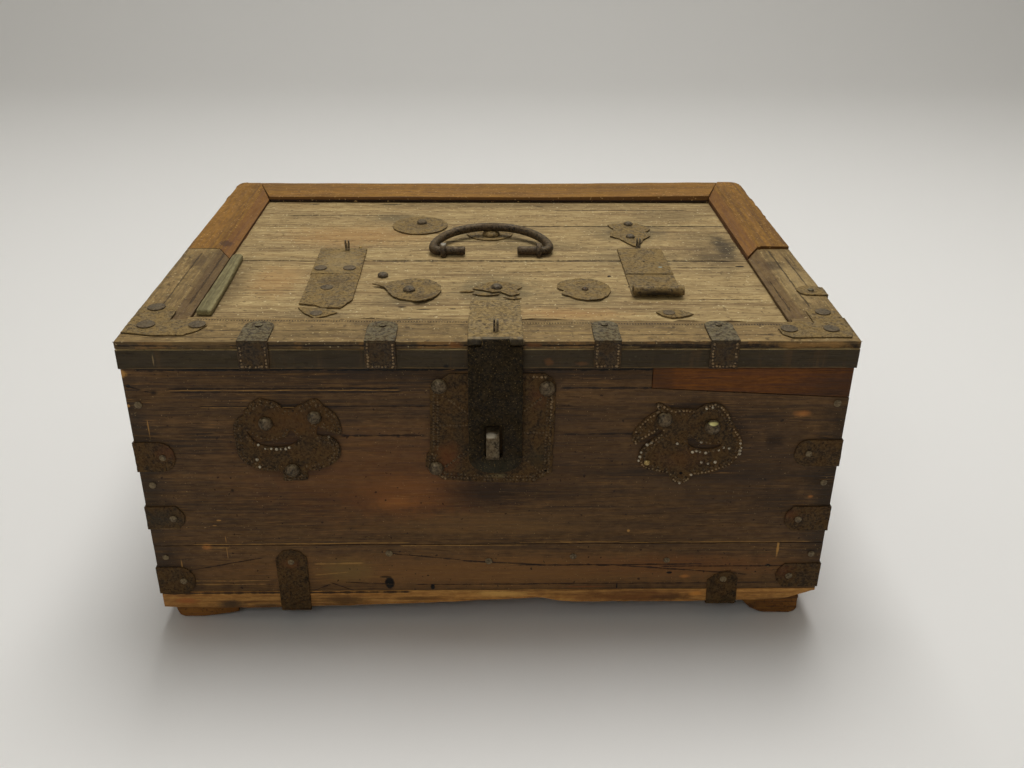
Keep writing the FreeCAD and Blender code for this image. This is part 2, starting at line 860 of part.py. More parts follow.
def bail_boss():
    """The plate and dome that the bail lies on when it is down."""
    centre = on_lid(boss_place_shares[0], boss_place_shares[1], panel_top)
    plate = cylinder(boss_plate_radius, thin_sheet, centre, up)
    axis = bail_axis()
    tilt = math.radians(bail_tilt)
    bar_y = axis.y + bail_reach * math.cos(tilt)
    bar_low = axis.z + bail_reach * math.sin(tilt) - bail_radius
    height = bar_low - seat_gap - panel_top
    dome = placed(domed_head(boss_radius, height), Vector(0, bar_y, panel_top), up)
    return joined([plate, dome])


# Straps across the lid's seam: side and share of the half width
top_strap_x_shares = {"left": -0.486, "right": 0.506}
top_strap_back_share = 0.517
top_strap_lap_share = 0.361
top_strap_torn_share = 0.19
top_strap_curl_share = 0.262
left_torn_shares = [(0.5, 0.36), (0.33, 0.0), (-0.12, 0.03), (-0.24, 0.1), (-0.5, 0.13)]
left_tip_shares = [(-0.5, -0.02), (-0.1, -0.30), (0.30, -0.17), (0.05, 0.0), (-0.2, 0.03)]
right_tip_shares = [(-0.35, -0.05), (0.1, -0.35), (0.6, -0.22), (0.3, -0.05)]


def top_strap_rear(side_name):
    """The sound rear half of a strap, over the lid's main seam."""
    x = top_strap_x_shares[side_name] * lid_side
    y_span = (lid_front + top_strap_lap_share * lid_depth, lid_front + top_strap_back_share * lid_depth)
    half = top_strap_width / 2
    return plank((x - half, x + half), y_span, (panel_top, panel_top + top_strap_plate))


def torn_points(shares, y_share):
    """Points of a torn edge, by shares of the strap's width."""
    x = top_strap_x_shares["left"] * lid_side
    y = lid_front + y_share * lid_depth
    return [Vector(x + u * top_strap_width, y + v * top_strap_width, panel_top) for u, v in shares]


def top_strap_front_left():
    """The front half of the left strap, cracked across, with its loose tip."""
    x = top_strap_x_shares["left"] * lid_side
    lap = lid_front + top_strap_lap_share * lid_depth
    half = top_strap_width / 2
    start = [Vector(x - half, lap, panel_top), Vector(x + half, lap, panel_top)]
    body = polygon_prism(start + torn_points(left_torn_shares, top_strap_torn_share), up * sheet)
    tip = polygon_prism(torn_points(left_tip_shares, top_strap_torn_share), up * thin_sheet)
    return [body, tip]


def top_strap_front_right():
    """The front half of the right strap, whose free end has curled up, with its tip."""
    x = top_strap_x_shares["right"] * lid_side
    lap = lid_front + top_strap_lap_share * lid_depth
    curl_y = lid_front + top_strap_curl_share * lid_depth
    half = top_strap_width / 2
    flat = plank((x - half, x + half), (curl_y, lap), (panel_top, panel_top + sheet))
    centre = Vector(x - half, curl_y, panel_top + curl_radius)
    ring = cylinder(curl_radius, top_strap_width, centre, right)
    ring = ring.cut(cylinder(curl_radius - sheet, top_strap_width, centre, right))
    open_x = (x - half - overrun, x + half + overrun)
    open_y = (curl_y, curl_y + curl_radius + overrun)
    open_z = (panel_top - overrun, panel_top + 2 * curl_radius + overrun)
    curl = ring.cut(plank(open_x, open_y, open_z))
    y = lid_front + top_strap_torn_share * lid_depth
    points = []
    for u, v in right_tip_shares:
        points.append(Vector(x + u * top_strap_width, y + v * top_strap_width, panel_top))
    return [joined([flat, curl]), polygon_prism(points, up * thin_sheet)]


# Lid nails on the panel: shares of the half width and depth, level above the panel
dome_place_shares = [
    (-0.246, 0.700, thin_sheet), (-0.246, 0.271, thin_sheet), (0.290, 0.276, thin_sheet),
    (0.020, 0.285, thin_sheet), (0.500, 0.690, thin_sheet), (0.490, 0.598, thin_sheet),
    (-0.338, 0.357, 0),
]
flat_place_shares = [
    (-0.541, 0.391, top_strap_plate), (-0.449, 0.391, top_strap_plate), (-0.498, 0.285, sheet),
    (-0.500, 0.155, thin_sheet), (0.518, 0.157, thin_sheet),
]


def panel_nails():
    """Nails through the plates on the lid's panel."""
    nails = []
    for x_share, y_share, level in dome_place_shares:
        seat = on_lid(x_share, y_share, panel_top + level)
        nails.append((seat, up, "small dome"))
    for x_share, y_share, level in flat_place_shares:
        seat = on_lid(x_share, y_share, panel_top + level)
        nails.append((seat, up, "small flat"))
    return nails


# Straps over the lid's front edge: share of the half width, share of the width
edge_strap_shares = [
    ("edge_strap_far_left", -0.633, 1.05),
    ("edge_strap_near_left", -0.295, 1.07),
    ("edge_strap_near_right", 0.315, 0.93),
    ("edge_strap_far_right", 0.631, 1.0),
]
edge_strap_rise_share = 0.42


def edge_strap(x_share, width_share):
    """A strap folded over the front edge of the lid, with its nail."""
    x = x_share * lid_side
    width = edge_strap_width * width_share
    rise = width * edge_strap_rise_share
    root = Vector(x, lid_front - sheet, lid_top)
    top_leg = tongue(root, back, right, edge_strap_reach + sheet, width, rise, up * sheet)
    span = (x - width / 2, x + width / 2)
    front_leg = plank(span, (lid_front - sheet, lid_front), (lid_bottom, lid_top + sheet))
    seat = Vector(x, lid_front + edge_strap_reach - rise, lid_top + sheet)
    return joined([top_leg, front_leg]), (seat, up, "stud")


side_strap_share = 0.2325


def side_strap():
    """The pointed strap over the lid's right edge, with its nail."""
    y = lid_front + side_strap_share * lid_depth
    root = Vector(lid_side + sheet, y, lid_top)
    inward = right * -1
    rise = side_strap_width / 3
    top_leg = tongue(root, inward, back, side_strap_reach + sheet, side_strap_width, rise, up * sheet)
    y_span = (y - side_strap_width / 2, y + side_strap_width / 2)
    z_span = (lid_top - side_strap_drop, lid_top + sheet)
    side_leg = plank((lid_side, lid_side + sheet), y_span, z_span)
    seat = Vector(lid_side - side_strap_reach / 2, y, lid_top + sheet)
    return joined([top_leg, side_leg]), (seat, up, "stud")


# Corner plates on the lid: run along the front, run back, outline and nails by shares
left_plate_shares = [
    (0.02, 0.22), (0.02, 0.91), (0.19, 1.0), (0.46, 0.91), (0.50, 0.83), (0.50, 0.56),
    (0.84, 0.55), (1.0, 0.42), (0.92, 0.27), (0.78, 0.15), (0.39, 0.15), (0.16, 0.20),
]
right_plate_shares = [
    (0.03, 0.30), (0.04, 0.89), (0.14, 0.95), (0.36, 1.0), (0.46, 0.93), (0.465, 0.54),
    (0.62, 0.58), (0.86, 0.56), (1.0, 0.36), (0.98, 0.195), (0.88, 0.09), (0.10, 0.10),
]
left_plate_nail_shares = [(0.23, 0.90), (0.26, 0.41), (0.88, 0.41)]
right_plate_nail_shares = [(0.25, 0.87), (0.30, 0.33), (0.86, 0.33)]
left_plate_along = 57.4
left_plate_depth = 64
right_plate_along = 53.3
right_plate_depth = 55.4


def corner_plate(side, along, depth, plate_shares, nail_shares):
    """A flat angle plate on a front corner of the lid, with its three broad nails."""

    def place(pair, level):
        return Vector(side * (lid_side - pair[0] * along), lid_front + pair[1] * depth, level)

    plate = polygon_prism([place(pair, lid_top) for pair in plate_shares], up * thin_sheet)
    seats = [place(pair, lid_top + thin_sheet) for pair in nail_shares]
    return plate, [(seat, up, "flat") for seat in seats]


# Split pins standing on the lid: shares of the half width and depth
cotter_place_shares = [
    (-0.477, 0.504, "strap"),
    (0.504, 0.5295, "panel"),
    (0.015, 0.0365, "leaf"),
]


def cotter_level(kind):
    """The surface that a split pin comes up through."""
    if kind == "leaf":
        return lid_top + sheet
    return panel_top + (top_strap_plate if kind == "strap" else 0)


def cotters():
    """Split pins with their two legs standing up out of the lid."""
    pins = []
    holes = []
    half = cotter_width / 2
    deep = cotter_depth / 2
    for x_share, y_share, kind in cotter_place_shares:
        level = cotter_level(kind)
        place = on_lid(x_share, y_share, level)
        y_span = (place.y - deep, place.y + deep)
        shank_z = (lid_bottom, level + cotter_leg)
        shank = plank((place.x - half, place.x + half), y_span, shank_z)
        legs = []
        for leg_x in (place.x - half, place.x + half - cotter_leg):
            leg_z = (level, level + cotter_rise)
            legs.append(plank((leg_x, leg_x + cotter_leg), y_span, leg_z))
        pins.append(joined([shank] + legs))
        wide = half + shank_clearance
        thick = deep + shank_clearance
        hole_y = (place.y - thick, place.y + thick)
        holes.append(plank((place.x - wide, place.x + wide), hole_y, (lid_bottom - overrun, level + overrun)))
    return pins, holes


# Feet: name, side, end, share of the length that stands flat
foot_shares = [
    ("foot_front_left", -1, -1, 0.3),
    ("foot_front_right", 1, -1, 0.62),
    ("foot_back_left", -1, 1, 0.62),
    ("foot_back_right", 1, 1, 0.62),
]
foot_slope_share = 0.4


def foot(x_side, y_side, flat_share):
    """A block foot whose inner end is cut back to a slope; flat_share is its sole."""
    outer = body_side - foot_inset
    sole = foot_length * flat_share
    front = body_front + foot_setback if y_side < 0 else body_back - foot_setback - foot_depth

    def place(run, height):
        return Vector(x_side * (outer - run), front, height)

    face = outline_face(place(0, bottom_low), [
        (place(foot_toe / 2, foot_toe),),
        (place(foot_toe, foot_toe / 4), place(2 * foot_toe, 0)),
        (place(sole, 0),),
        (place((sole + foot_length) / 2, foot_height * foot_slope_share), place(foot_length, bottom_low)),
    ])
    return face.extrude(back * foot_depth)


def front_boards(holes):
    """The front of the box: a wide plank, a narrow one below it, and a let-in patch."""
    seam = wall_top - (1 - lower_plank_share) * wall_height
    y_span = (body_front, inner_front)
    upper = plank((-body_side, body_side), y_span, (seam, wall_top))
    lower = plank((-body_side, body_side), y_span, (bottom_high, seam))
    start = patch_start_share * body_side
    near = wall_top - patch_depth_shares[0] * wall_height
    far = wall_top - patch_depth_shares[1] * wall_height
    points = [
        Vector(start, body_front, wall_top), Vector(start, body_front, near),
        Vector(body_side, body_front, far), Vector(body_side, body_front, wall_top),
    ]
    patch = polygon_prism(points, back * wall_thickness)
    return without(upper.cut(patch), holes), without(lower, holes), without(patch, holes)


def back_boards(recesses, holes):
    """The back of the box in two planks, let in at the top for the hinges."""
    seam = bottom_high + (1 - back_plank_share) * wall_height
    y_span = (inner_back, body_back)
    upper = plank((-body_side, body_side), y_span, (seam, wall_top)).cut(recesses)
    lower = plank((-body_side, body_side), y_span, (bottom_high, seam))
    return without(upper, holes), without(lower, holes)


def side_board(side, holes):
    """One end of the box, held between the front and back boards."""
    x_span = sorted((side * inner_side, side * body_side))
    board = plank(x_span, (inner_front, inner_back), (bottom_high, wall_top))
    return without(board, holes)


def bottom_board(holes):
    """The bottom, nailed up under the walls."""
    board = plank((-body_side, body_side), (body_front, body_back), (bottom_low, bottom_high))
    return without(board, holes)


def lid_boards(cuts):
    """Three boards edge to edge; the front and rear ones carry the metalwork."""
    edges = [lid_front]
    for seam_share in board_seam_shares:
        edges.append(lid_front + seam_share * lid_depth)
    edges.append(lid_back)
    boards = []
    for index in range(len(edges) - 1):
        y_span = (edges[index], edges[index + 1])
        board = plank((-lid_side, lid_side), y_span, (lid_bottom, panel_top))
        boards.append(board)
    rounded = round_back_corners(boards[-1])
    return [without(board, cuts) for board in boards[:-1] + [rounded]]


def round_back_corners(shape):
    """The lid's two back corners, rounded in plan."""
    corner = stile_width * back_corner_share
    edges = []
    for edge in shape.Edges:
        middle = edge.CenterOfMass
        at_back = abs(middle.y - lid_back) < seat_gap
        at_side = abs(abs(middle.x) - lid_side) < seat_gap
        if at_back and at_side and is_along(edge, up):
            edges.append(edge)
    return shape.makeFillet(corner, edges) if edges else shape


def front_rail(cuts):
    """The frame's front rail, across the whole lid."""
    rail = plank((-lid_side, lid_side), (lid_front, frame_front), (panel_top, lid_top))
    return without(rail, cuts)


def stile_profile(side, y_start, y_end, thickness, scribed_at_front):
    """A stile with a sloped inner edge, its joint cut back over that slope."""
    joint = lid_depth * scribe_share
    bevel = stile_width * bevel_width_share
    inner = side * frame_side
    edge = side * (frame_side + bevel)
    outer = side * lid_side
    low = y_start - joint if scribed_at_front else y_start
    high = y_end if scribed_at_front else y_end - joint
    points = [
        Vector(outer, y_start, panel_top), Vector(edge, y_start, panel_top),
        Vector(inner, low, panel_top), Vector(inner, high, panel_top),
        Vector(edge, y_end, panel_top), Vector(outer, y_end, panel_top),
    ]
    stile = polygon_prism(points, up * thickness)
    level = panel_top + thickness
    depth = thickness * bevel_depth_share
    section = [
        Vector(inner - side * overrun, low - overrun, level - depth - depth * overrun / bevel),
        Vector(edge, low - overrun, level),
        Vector(edge, low - overrun, level + overrun),
        Vector(inner - side * overrun, low - overrun, level + overrun),
    ]
    slope = polygon_prism(section, back * (y_end - low + 2 * overrun))
    return stile.cut(slope)


def stile_joint():
    """Where the old front stiles meet the newer rear ones."""
    return lid_front + stile_joint_share * lid_depth


def front_stile(side):
    """A front stile, from the front rail back to the joint."""
    return stile_profile(side, frame_front, stile_joint(), frame_thickness, False)


def rear_stile(side):
    """A rear stile, scribed over the front one; the right one stands a little proud."""
    thickness = frame_thickness + (stile_step if side > 0 else 0)
    stile = stile_profile(side, stile_joint(), lid_back, thickness, True)
    return round_back_corners(stile.cut(rail_end(side)))


def rail_end(side):
    """The part of a stile's place that the end of the back rail takes."""
    run = stile_width * mitre_run_share
    inner = side * frame_side
    points = [
        Vector(inner - side * overrun, frame_back, panel_top),
        Vector(inner, frame_back, panel_top),
        Vector(inner + side * run, lid_back, panel_top),
        Vector(inner - side * overrun, lid_back, panel_top),
    ]
    return polygon_prism(points, up * (frame_thickness + stile_step))


def back_rail():
    """The back rail, with sloping ends between the rear stiles."""
    run = stile_width * mitre_run_share
    points = [
        Vector(-frame_side, frame_back, panel_top), Vector(frame_side, frame_back, panel_top),
        Vector(frame_side + run, lid_back, panel_top), Vector(-frame_side - run, lid_back, panel_top),
    ]
    return polygon_prism(points, up * frame_thickness)


bead_height = 5.5
bead_gap = 1
bead_round = 1.6
bead_widths = (12, 8.5)
bead_shares = (0.146, 0.46)


def bead_strip():
    """A tapering length of bead that lies loose inside the left front stile."""
    left = -frame_side + bead_gap
    start = lid_front + bead_shares[0] * lid_depth
    end = lid_front + bead_shares[1] * lid_depth
    points = [
        Vector(left, start, panel_top), Vector(left + bead_widths[0], start, panel_top),
        Vector(left + bead_widths[1], end, panel_top), Vector(left, end, panel_top),
    ]
    strip = polygon_prism(points, up * bead_height)
    top_edges = [edge for edge in strip.Edges if edge.BoundBox.ZMin > panel_top + bead_height / 2]
    return strip.makeFillet(bead_round, top_edges)


def made_nails(nails):
    """Solids for a list of nails."""
    return [nail(seat, outward, head) for seat, outward, head in nails]


def made_holes(nails):
    """Holes for a list of nails."""
    return [nail_hole(seat, outward) for seat, outward, head in nails]


def build():
    """Every piece of the chest, by name."""
    pieces = {}
    box_nails = carcass_nails()
    for name, side, drop_share, width_share in corner_strap_shares:
        pieces[name], nails = corner_strap(side, drop_share, width_share)
        box_nails += nails
    for name, side, foot_gap, drop_share, rise_share in bottom_strap_shares:
        pieces[name], nails = bottom_strap(side, foot_gap, drop_share, rise_share)
        box_nails += nails
    front_nails = dome_nails()

    lid_nails = panel_nails()
    for name, x_share, width_share in edge_strap_shares:
        pieces[name], spec = edge_strap(x_share, width_share)
        lid_nails.append(spec)
    pieces["side_strap"], spec = side_strap()
    lid_nails.append(spec)
    pieces["lid_corner_plate_left"], nails = corner_plate(
        -1, left_plate_along, left_plate_depth, left_plate_shares, left_plate_nail_shares)
    lid_nails += nails
    pieces["lid_corner_plate_right"], nails = corner_plate(
        1, right_plate_along, right_plate_depth, right_plate_shares, right_plate_nail_shares)
    lid_nails += nails

    lower_leaves = []
    upper_leaves = []
    pins = []
    for side in (-1, 1):
        lower, upper, pin = hinge_parts(side)
        lower_leaves.append(lower)
        upper_leaves.append(upper)
        pins.append(pin)
        below, above = hinge_nails(side)
        box_nails += below
        lid_nails += above
    pieces["hinge_lower_leaves"] = Part.Compound(lower_leaves)
    pieces["hinge_upper_leaves"] = Part.Compound(upper_leaves)
    pieces["hinge_pins"] = Part.Compound(pins)

    in_board, in_lid = hinge_recesses()
    box_holes = made_holes(box_nails + front_nails) + staple_slots()
    cotter_pins, cotter_holes = cotters()
    lid_holes = made_holes(lid_nails) + cotter_holes
    lid_cuts = lid_holes + bail_eye_holes() + in_lid + [hasp_seat()]

    front = front_boards(box_holes)
    pieces["front_board_upper"], pieces["front_board_lower"], pieces["front_patch_strip"] = front
    pieces["back_board_upper"], pieces["back_board_lower"] = back_boards(in_board, box_holes)
    pieces["side_board_left"] = side_board(-1, box_holes)
    pieces["side_board_right"] = side_board(1, box_holes)
    pieces["bottom_board"] = bottom_board(box_holes)
    for name, x_side, y_side, flat_share in foot_shares:
        pieces[name] = foot(x_side, y_side, flat_share)
    pieces["lock_plate"] = lock_plate()
    pieces["lock_staple"] = lock_staple()
    pieces["escutcheon_left"] = escutcheon(
        -1, left_start_shares, left_outline_shares, left_crescent_start_shares, left_crescent_shares)
    pieces["escutcheon_right"] = escutcheon(
        1, right_start_shares, right_outline_shares, right_crescent_start_shares, right_crescent_shares)

    boards = lid_boards(lid_cuts)
    pieces["lid_board_front"], pieces["lid_board_middle"], pieces["lid_board_rear"] = boards
    pieces["lid_front_rail"] = front_rail(lid_cuts)
    pieces["lid_back_rail"] = back_rail()
    pieces["lid_front_stile_left"] = front_stile(-1)
    pieces["lid_front_stile_right"] = front_stile(1)
    pieces["lid_rear_stile_left"] = rear_stile(-1)
    pieces["lid_rear_stile_right"] = rear_stile(1)
    pieces["lid_bead_strip"] = bead_strip()
    pieces["top_strap_left_rear"] = top_strap_rear("left")
    pieces["top_strap_right_rear"] = top_strap_rear("right")
    pieces["top_strap_left_front"] = Part.Compound(top_strap_front_left())
    pieces["top_strap_right_front"] = Part.Compound(top_strap_front_right())
    pieces["rosettes"] = Part.Compound(rosettes())
    pieces["rosette_remnants"] = Part.Compound(rosette_remnants())
    pieces["bail_boss"] = bail_boss()
    pieces["hasp_leaf"] = hasp_leaf()
    pieces["hasp_pin"] = hasp_pin()
    pieces["hasp"] = hasp()
    pieces["bail"] = bail()
    pieces["bail_eyes"] = Part.Compound([bail_eye(-1), bail_eye(1)])

    for name in list(pieces):
        on_box = name.startswith(("corner_strap", "bottom_strap", "hinge_lower", "lock_plate", "escutcheon"))
        on_lid_top = name.startswith(
            ("top_strap", "rosette", "hasp_leaf", "edge_strap", "side_strap", "lid_corner", "hinge_upper",
             "lid_front_stile", "bail_boss"))
        if on_box:
            pieces[name] = without(pieces[name], box_holes)
        if on_lid_top:
            pieces[name] = without(pieces[name], lid_holes)
    pieces["box_nails"] = Part.Compound(made_nails(box_nails))
    pieces["dome_nails"] = Part.Compound(made_nails(front_nails))
    pieces["lid_nails"] = Part.Compound(made_nails(lid_nails))
    pieces["cotter_pins"] = Part.Compound(cotter_pins)
    return pieces


os.makedirs("parts", exist_ok=True)
for piece_name, shape in sorted(build().items()):
    shape.exportStep("parts/" + piece_name + ".step")
    print(piece_name, len(shape.Solids), "solids,", "valid" if shape.isValid() else "not valid")
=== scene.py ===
# %% [markdown]
# # An iron-bound dowry chest
# The chest is a small box of old boards held together by nailed iron. Its lid is three boards edge
# to edge with a thin frame on top, and it carries a bail handle, worn straps and round plates.
# The CAD frame gives every size and place. Here each piece is made again with the wear of the
# real one: soft arrises, wandering edges, torn iron, punched borders and dust.

# %% Load the frame
import math

import bpy
from mathutils import Matrix, Vector, noise


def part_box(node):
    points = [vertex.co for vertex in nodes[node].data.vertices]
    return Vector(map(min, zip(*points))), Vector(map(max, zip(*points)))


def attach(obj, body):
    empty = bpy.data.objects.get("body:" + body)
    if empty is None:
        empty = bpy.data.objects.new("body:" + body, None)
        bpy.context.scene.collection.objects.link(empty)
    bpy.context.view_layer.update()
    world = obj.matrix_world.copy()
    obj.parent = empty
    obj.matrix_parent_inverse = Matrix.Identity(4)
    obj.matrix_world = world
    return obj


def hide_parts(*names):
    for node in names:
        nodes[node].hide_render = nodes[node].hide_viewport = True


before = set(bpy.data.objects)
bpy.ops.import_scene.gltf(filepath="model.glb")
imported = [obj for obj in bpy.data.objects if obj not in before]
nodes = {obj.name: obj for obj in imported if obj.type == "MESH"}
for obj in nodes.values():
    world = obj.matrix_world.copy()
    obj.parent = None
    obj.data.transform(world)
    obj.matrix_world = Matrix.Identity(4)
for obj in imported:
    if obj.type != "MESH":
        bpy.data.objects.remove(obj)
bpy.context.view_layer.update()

# %% [markdown]
# All tables below are in millimetres, measured as a joiner would on the real lid: x from the
# middle to the right, y back from the lid's front edge, and z up from the top of its frame.
# Two corners of the CAD frame turn such a place into a point in metres.

# %% Places in millimetres
mm = 0.001
lid_half, lid_depth = 255, 391
box_half, box_front, box_back, board = 254, 2, 384, 16
wall_top, plank_seam, wall_foot, base_foot = -21.3, -169.9, -213.3, -224.3
panel_level, panel_foot = -6, -21
lid_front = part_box("lid_board_front")[0].y
lid_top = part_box("lid_front_rail")[1].z


def at(x, y, z):
    """A point of the chest, in metres, from its place in millimetres."""
    return Vector((x * mm, lid_front + y * mm, lid_top + z * mm))


def level(z):
    """The height, in metres, of a level in millimetres from the top of the frame."""
    return at(0, 0, z).z


print("lid front edge", round(lid_front, 5), "frame top", round(lid_top, 5))

# %% [markdown]
# The camera comes first, because all looks are judged through it. The photograph was taken with
# a wide lens from just above the lid, turned down by 27 degrees. Its place and angle were worked
# out from the chest's own straight edges.

# %% Camera
camera_data = bpy.data.cameras.new("camera")
camera_data.sensor_width = 36
camera_data.lens = 35.35
camera = bpy.data.objects.new("camera", camera_data)
bpy.context.scene.collection.objects.link(camera)
pitch, yaw, roll = (math.radians(angle) for angle in (26.95, 1.406, 0.528))
ahead = Vector((math.sin(yaw) * math.cos(pitch), math.cos(yaw) * math.cos(pitch), -math.sin(pitch)))
level_right = Vector((math.cos(yaw), -math.sin(yaw), 0))
level_up = level_right.cross(ahead)
turned_right = math.cos(roll) * level_right + math.sin(roll) * level_up
turned_up = -math.sin(roll) * level_right + math.cos(roll) * level_up
facing = Matrix((turned_right, turned_up, -ahead)).transposed().to_4x4()
camera.matrix_world = Matrix.Translation(Vector((-0.0003, -0.81125, 0.5254))) @ facing
bpy.context.scene.camera = camera
print("camera height", camera.location.z)

# %% [markdown]
# ## Small tools
# Operators act on whatever is selected, so each step starts by selecting one piece alone.
# Most pieces of this chest are flat stock cut to an outline, so one tool makes them all: a circle
# with as many points as the outline has, its points moved to the outline, then extruded.

# %% Selecting and finishing one piece


def clear():
    """Object mode, with nothing selected."""
    if bpy.context.mode != "OBJECT":
        bpy.ops.object.mode_set(mode="OBJECT")
    bpy.ops.object.select_all(action="DESELECT")


def only(piece):
    """Selects one piece alone and makes it active."""
    clear()
    piece.select_set(True)
    bpy.context.view_layer.objects.active = piece


def edit():
    """Edit mode, with the whole active mesh selected."""
    bpy.ops.object.mode_set(mode="EDIT")
    bpy.ops.mesh.select_all(action="SELECT")


def leave():
    """Back to object mode."""
    bpy.ops.object.mode_set(mode="OBJECT")


def bake():
    """Writes the active piece's place, turn and scale into its mesh."""
    bpy.ops.object.transform_apply(location=True, rotation=True, scale=True)


def modify(piece, kind, **settings):
    """Puts one modifier on a piece and applies it."""
    only(piece)
    modifier = piece.modifiers.new(kind, kind)
    for name, value in settings.items():
        setattr(modifier, name, value)
    bpy.ops.object.modifier_apply(modifier=modifier.name)


def soften(piece, width, segments=2, angle=40):
    """Rounds the sharp edges with a bevel of this many millimetres."""
    limit = math.radians(angle)
    modify(
        piece, "BEVEL", width=width * mm, segments=segments, limit_method="ANGLE",
        angle_limit=limit)


def pierce(piece, cutter):
    """Cuts one piece out of another and removes it."""
    modify(piece, "BOOLEAN", operation="DIFFERENCE", object=cutter)
    bpy.data.objects.remove(cutter)


def wear(piece, amount, size, seed=0.0):
    """Rubs the edges down unevenly: vertices sink by up to amount, in waves of this size."""
    for vertex in piece.data.vertices:
        wave = noise.noise(vertex.co / (size * mm) + Vector((seed, seed, seed)))
        vertex.co -= vertex.normal * (amount * mm * (0.5 + 0.5 * wave))


def cross_cut(piece, axis, step):
    """Cuts loops across a piece every few millimetres, so that its edges can wander."""
    only(piece)
    places = [vertex.co[axis] for vertex in piece.data.vertices]
    normal = Vector((0, 0, 0))
    normal[axis] = 1
    bpy.ops.object.mode_set(mode="EDIT")
    place = min(places) + step * mm
    while place < max(places) - step * mm / 2:
        bpy.ops.mesh.select_all(action="SELECT")
        bpy.ops.mesh.bisect(plane_co=normal * place, plane_no=normal)
        place += step * mm
    leave()


def welded(pieces):
    """Several meshes as one object."""
    clear()
    for piece in pieces:
        piece.select_set(True)
    bpy.context.view_layer.objects.active = pieces[0]
    bpy.ops.object.join()
    return bpy.context.object


def settle(piece, name, body, slot, finish, *replaced, smooth=35):
    """Names the piece, gives it its finish and body, and hides the CAD nodes it is for."""
    only(piece)
    piece.name = name
    piece.data.name = name
    piece.data.materials.clear()
    piece.data.materials.append(finish)
    bpy.ops.object.shade_smooth_by_angle(angle=math.radians(smooth))
    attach(piece, body)
    if replaced:
        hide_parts(*replaced)
    return piece


def aged(piece, node, body, slot, finish, smooth=35):
    """Settles a piece that is named after the one node it stands for."""
    return settle(piece, "aged_" + node, body, slot, finish, node, smooth=smooth)


# %% Flat stock cut to an outline


def on_top(level):
    """Outline x, y lying on a level of the lid, rising upwards."""
    return lambda u, v, w: at(u, v, level + w)


def on_front(depth):
    """Outline x, z standing at a depth behind the lid's edge, rising forwards."""
    return lambda u, v, w: at(u, depth - w, v)


def on_side(x):
    """Outline y, z on an end of the box, rising outwards."""
    way = 1 if x > 0 else -1
    return lambda u, v, w: at(x + way * w, u, v)


def cut_out(outline, place, rise):
    """A flat piece of this outline, extruded by rise."""
    clear()
    bpy.ops.mesh.primitive_circle_add(vertices=len(outline), fill_type="NGON")
    piece = bpy.context.object
    for vertex, point in zip(piece.data.vertices, outline):
        vertex.co = place(point[0], point[1], 0)
    edit()
    step = place(0, 0, rise) - place(0, 0, 0)
    bpy.ops.mesh.extrude_region_move(TRANSFORM_OT_translate={"value": step})
    bpy.ops.mesh.select_all(action="SELECT")
    bpy.ops.mesh.normals_make_consistent(inside=False)
    leave()
    return piece


def ragged(outline, step, amount, seed):
    """The outline with a point every few millimetres, each pushed a little out of line."""
    points = []
    for index, corner in enumerate(outline):
        start = Vector(corner)
        run = Vector(outline[(index + 1) % len(outline)]) - start
        cuts = max(1, round(run.length / step))
        across = Vector((-run.y, run.x)).normalized()
        for cut in range(cuts):
            point = start + run * (cut / cuts)
            push = noise.noise(Vector((point.x * 0.23, point.y * 0.23, seed)))
            fine = noise.noise(Vector((point.x * 0.9, point.y * 0.9, seed + 7)))
            points.append(tuple(point + across * (amount * (push + 0.5 * fine))))
    return points


def curved(points, steps):
    """A smooth closed line through the points."""
    line = []
    count = len(points)
    for index in range(count):
        a, b, c, d = (Vector(points[(index + shift) % count]) for shift in (-1, 0, 1, 2))
        for step in range(steps):
            t = step / steps
            line.append(tuple(
                0.5 * ((2 * b) + (c - a) * t + (2 * a - 5 * b + 4 * c - d) * t * t
                       + (3 * b - a - 3 * c + d) * t ** 3)
            ))
    return line


def arc(centre, radius, start, end, steps):
    """Points along a round arc, with its angles in degrees."""
    points = []
    for step in range(steps + 1):
        angle = math.radians(start + (end - start) * step / steps)
        points.append((centre[0] + radius * math.cos(angle), centre[1] + radius * math.sin(angle)))
    return points


on_panel = on_top(panel_level)
print("tools ready")

# %% [markdown]
# ## Colours and node helpers
# A shader works in linear light, while a colour read off a picture is stored brighter, so one
# small function turns one into the other. The other helpers place a node and link its inputs in
# one line, which keeps each material short enough to read.

# %% Node helpers


def paint(colour):
    """A colour read off a picture, 0 to 255, as the linear colour that a shader takes."""
    light = []
    for value in colour:
        share = value / 255
        light.append(share / 12.92 if share <= 0.04045 else ((share + 0.055) / 1.055) ** 2.4)
    return (*light, 1)


def add(tree, kind, inputs=None, **settings):
    """One node: its settings, then its inputs, typed in or linked from a socket."""
    made = tree.nodes.new(kind)
    for name, value in settings.items():
        setattr(made, name, value)
    for key, value in (inputs or {}).items():
        if isinstance(value, bpy.types.NodeSocket):
            tree.links.new(value, made.inputs[key])
        else:
            made.inputs[key].default_value = value
    return made


def reckon(tree, operation, first, second=0.0):
    """One step of arithmetic."""
    return add(tree, "ShaderNodeMath", {0: first, 1: second}, operation=operation).outputs[0]


def times(tree, first, second):
    """The product of two values."""
    return reckon(tree, "MULTIPLY", first, second)


def plus(tree, first, second):
    """The sum of two values."""
    return reckon(tree, "ADD", first, second)


def minus(tree, first, second):
    """The first value less the second."""
    return reckon(tree, "SUBTRACT", first, second)


def between(tree, value, low, high, start=0.0, end=1.0):
    """Rises smoothly from start to end as the value goes from low to high."""
    inputs = {"Value": value, "From Min": low, "From Max": high, "To Min": start, "To Max": end}
    return add(tree, "ShaderNodeMapRange", inputs, interpolation_type="SMOOTHSTEP").outputs[0]


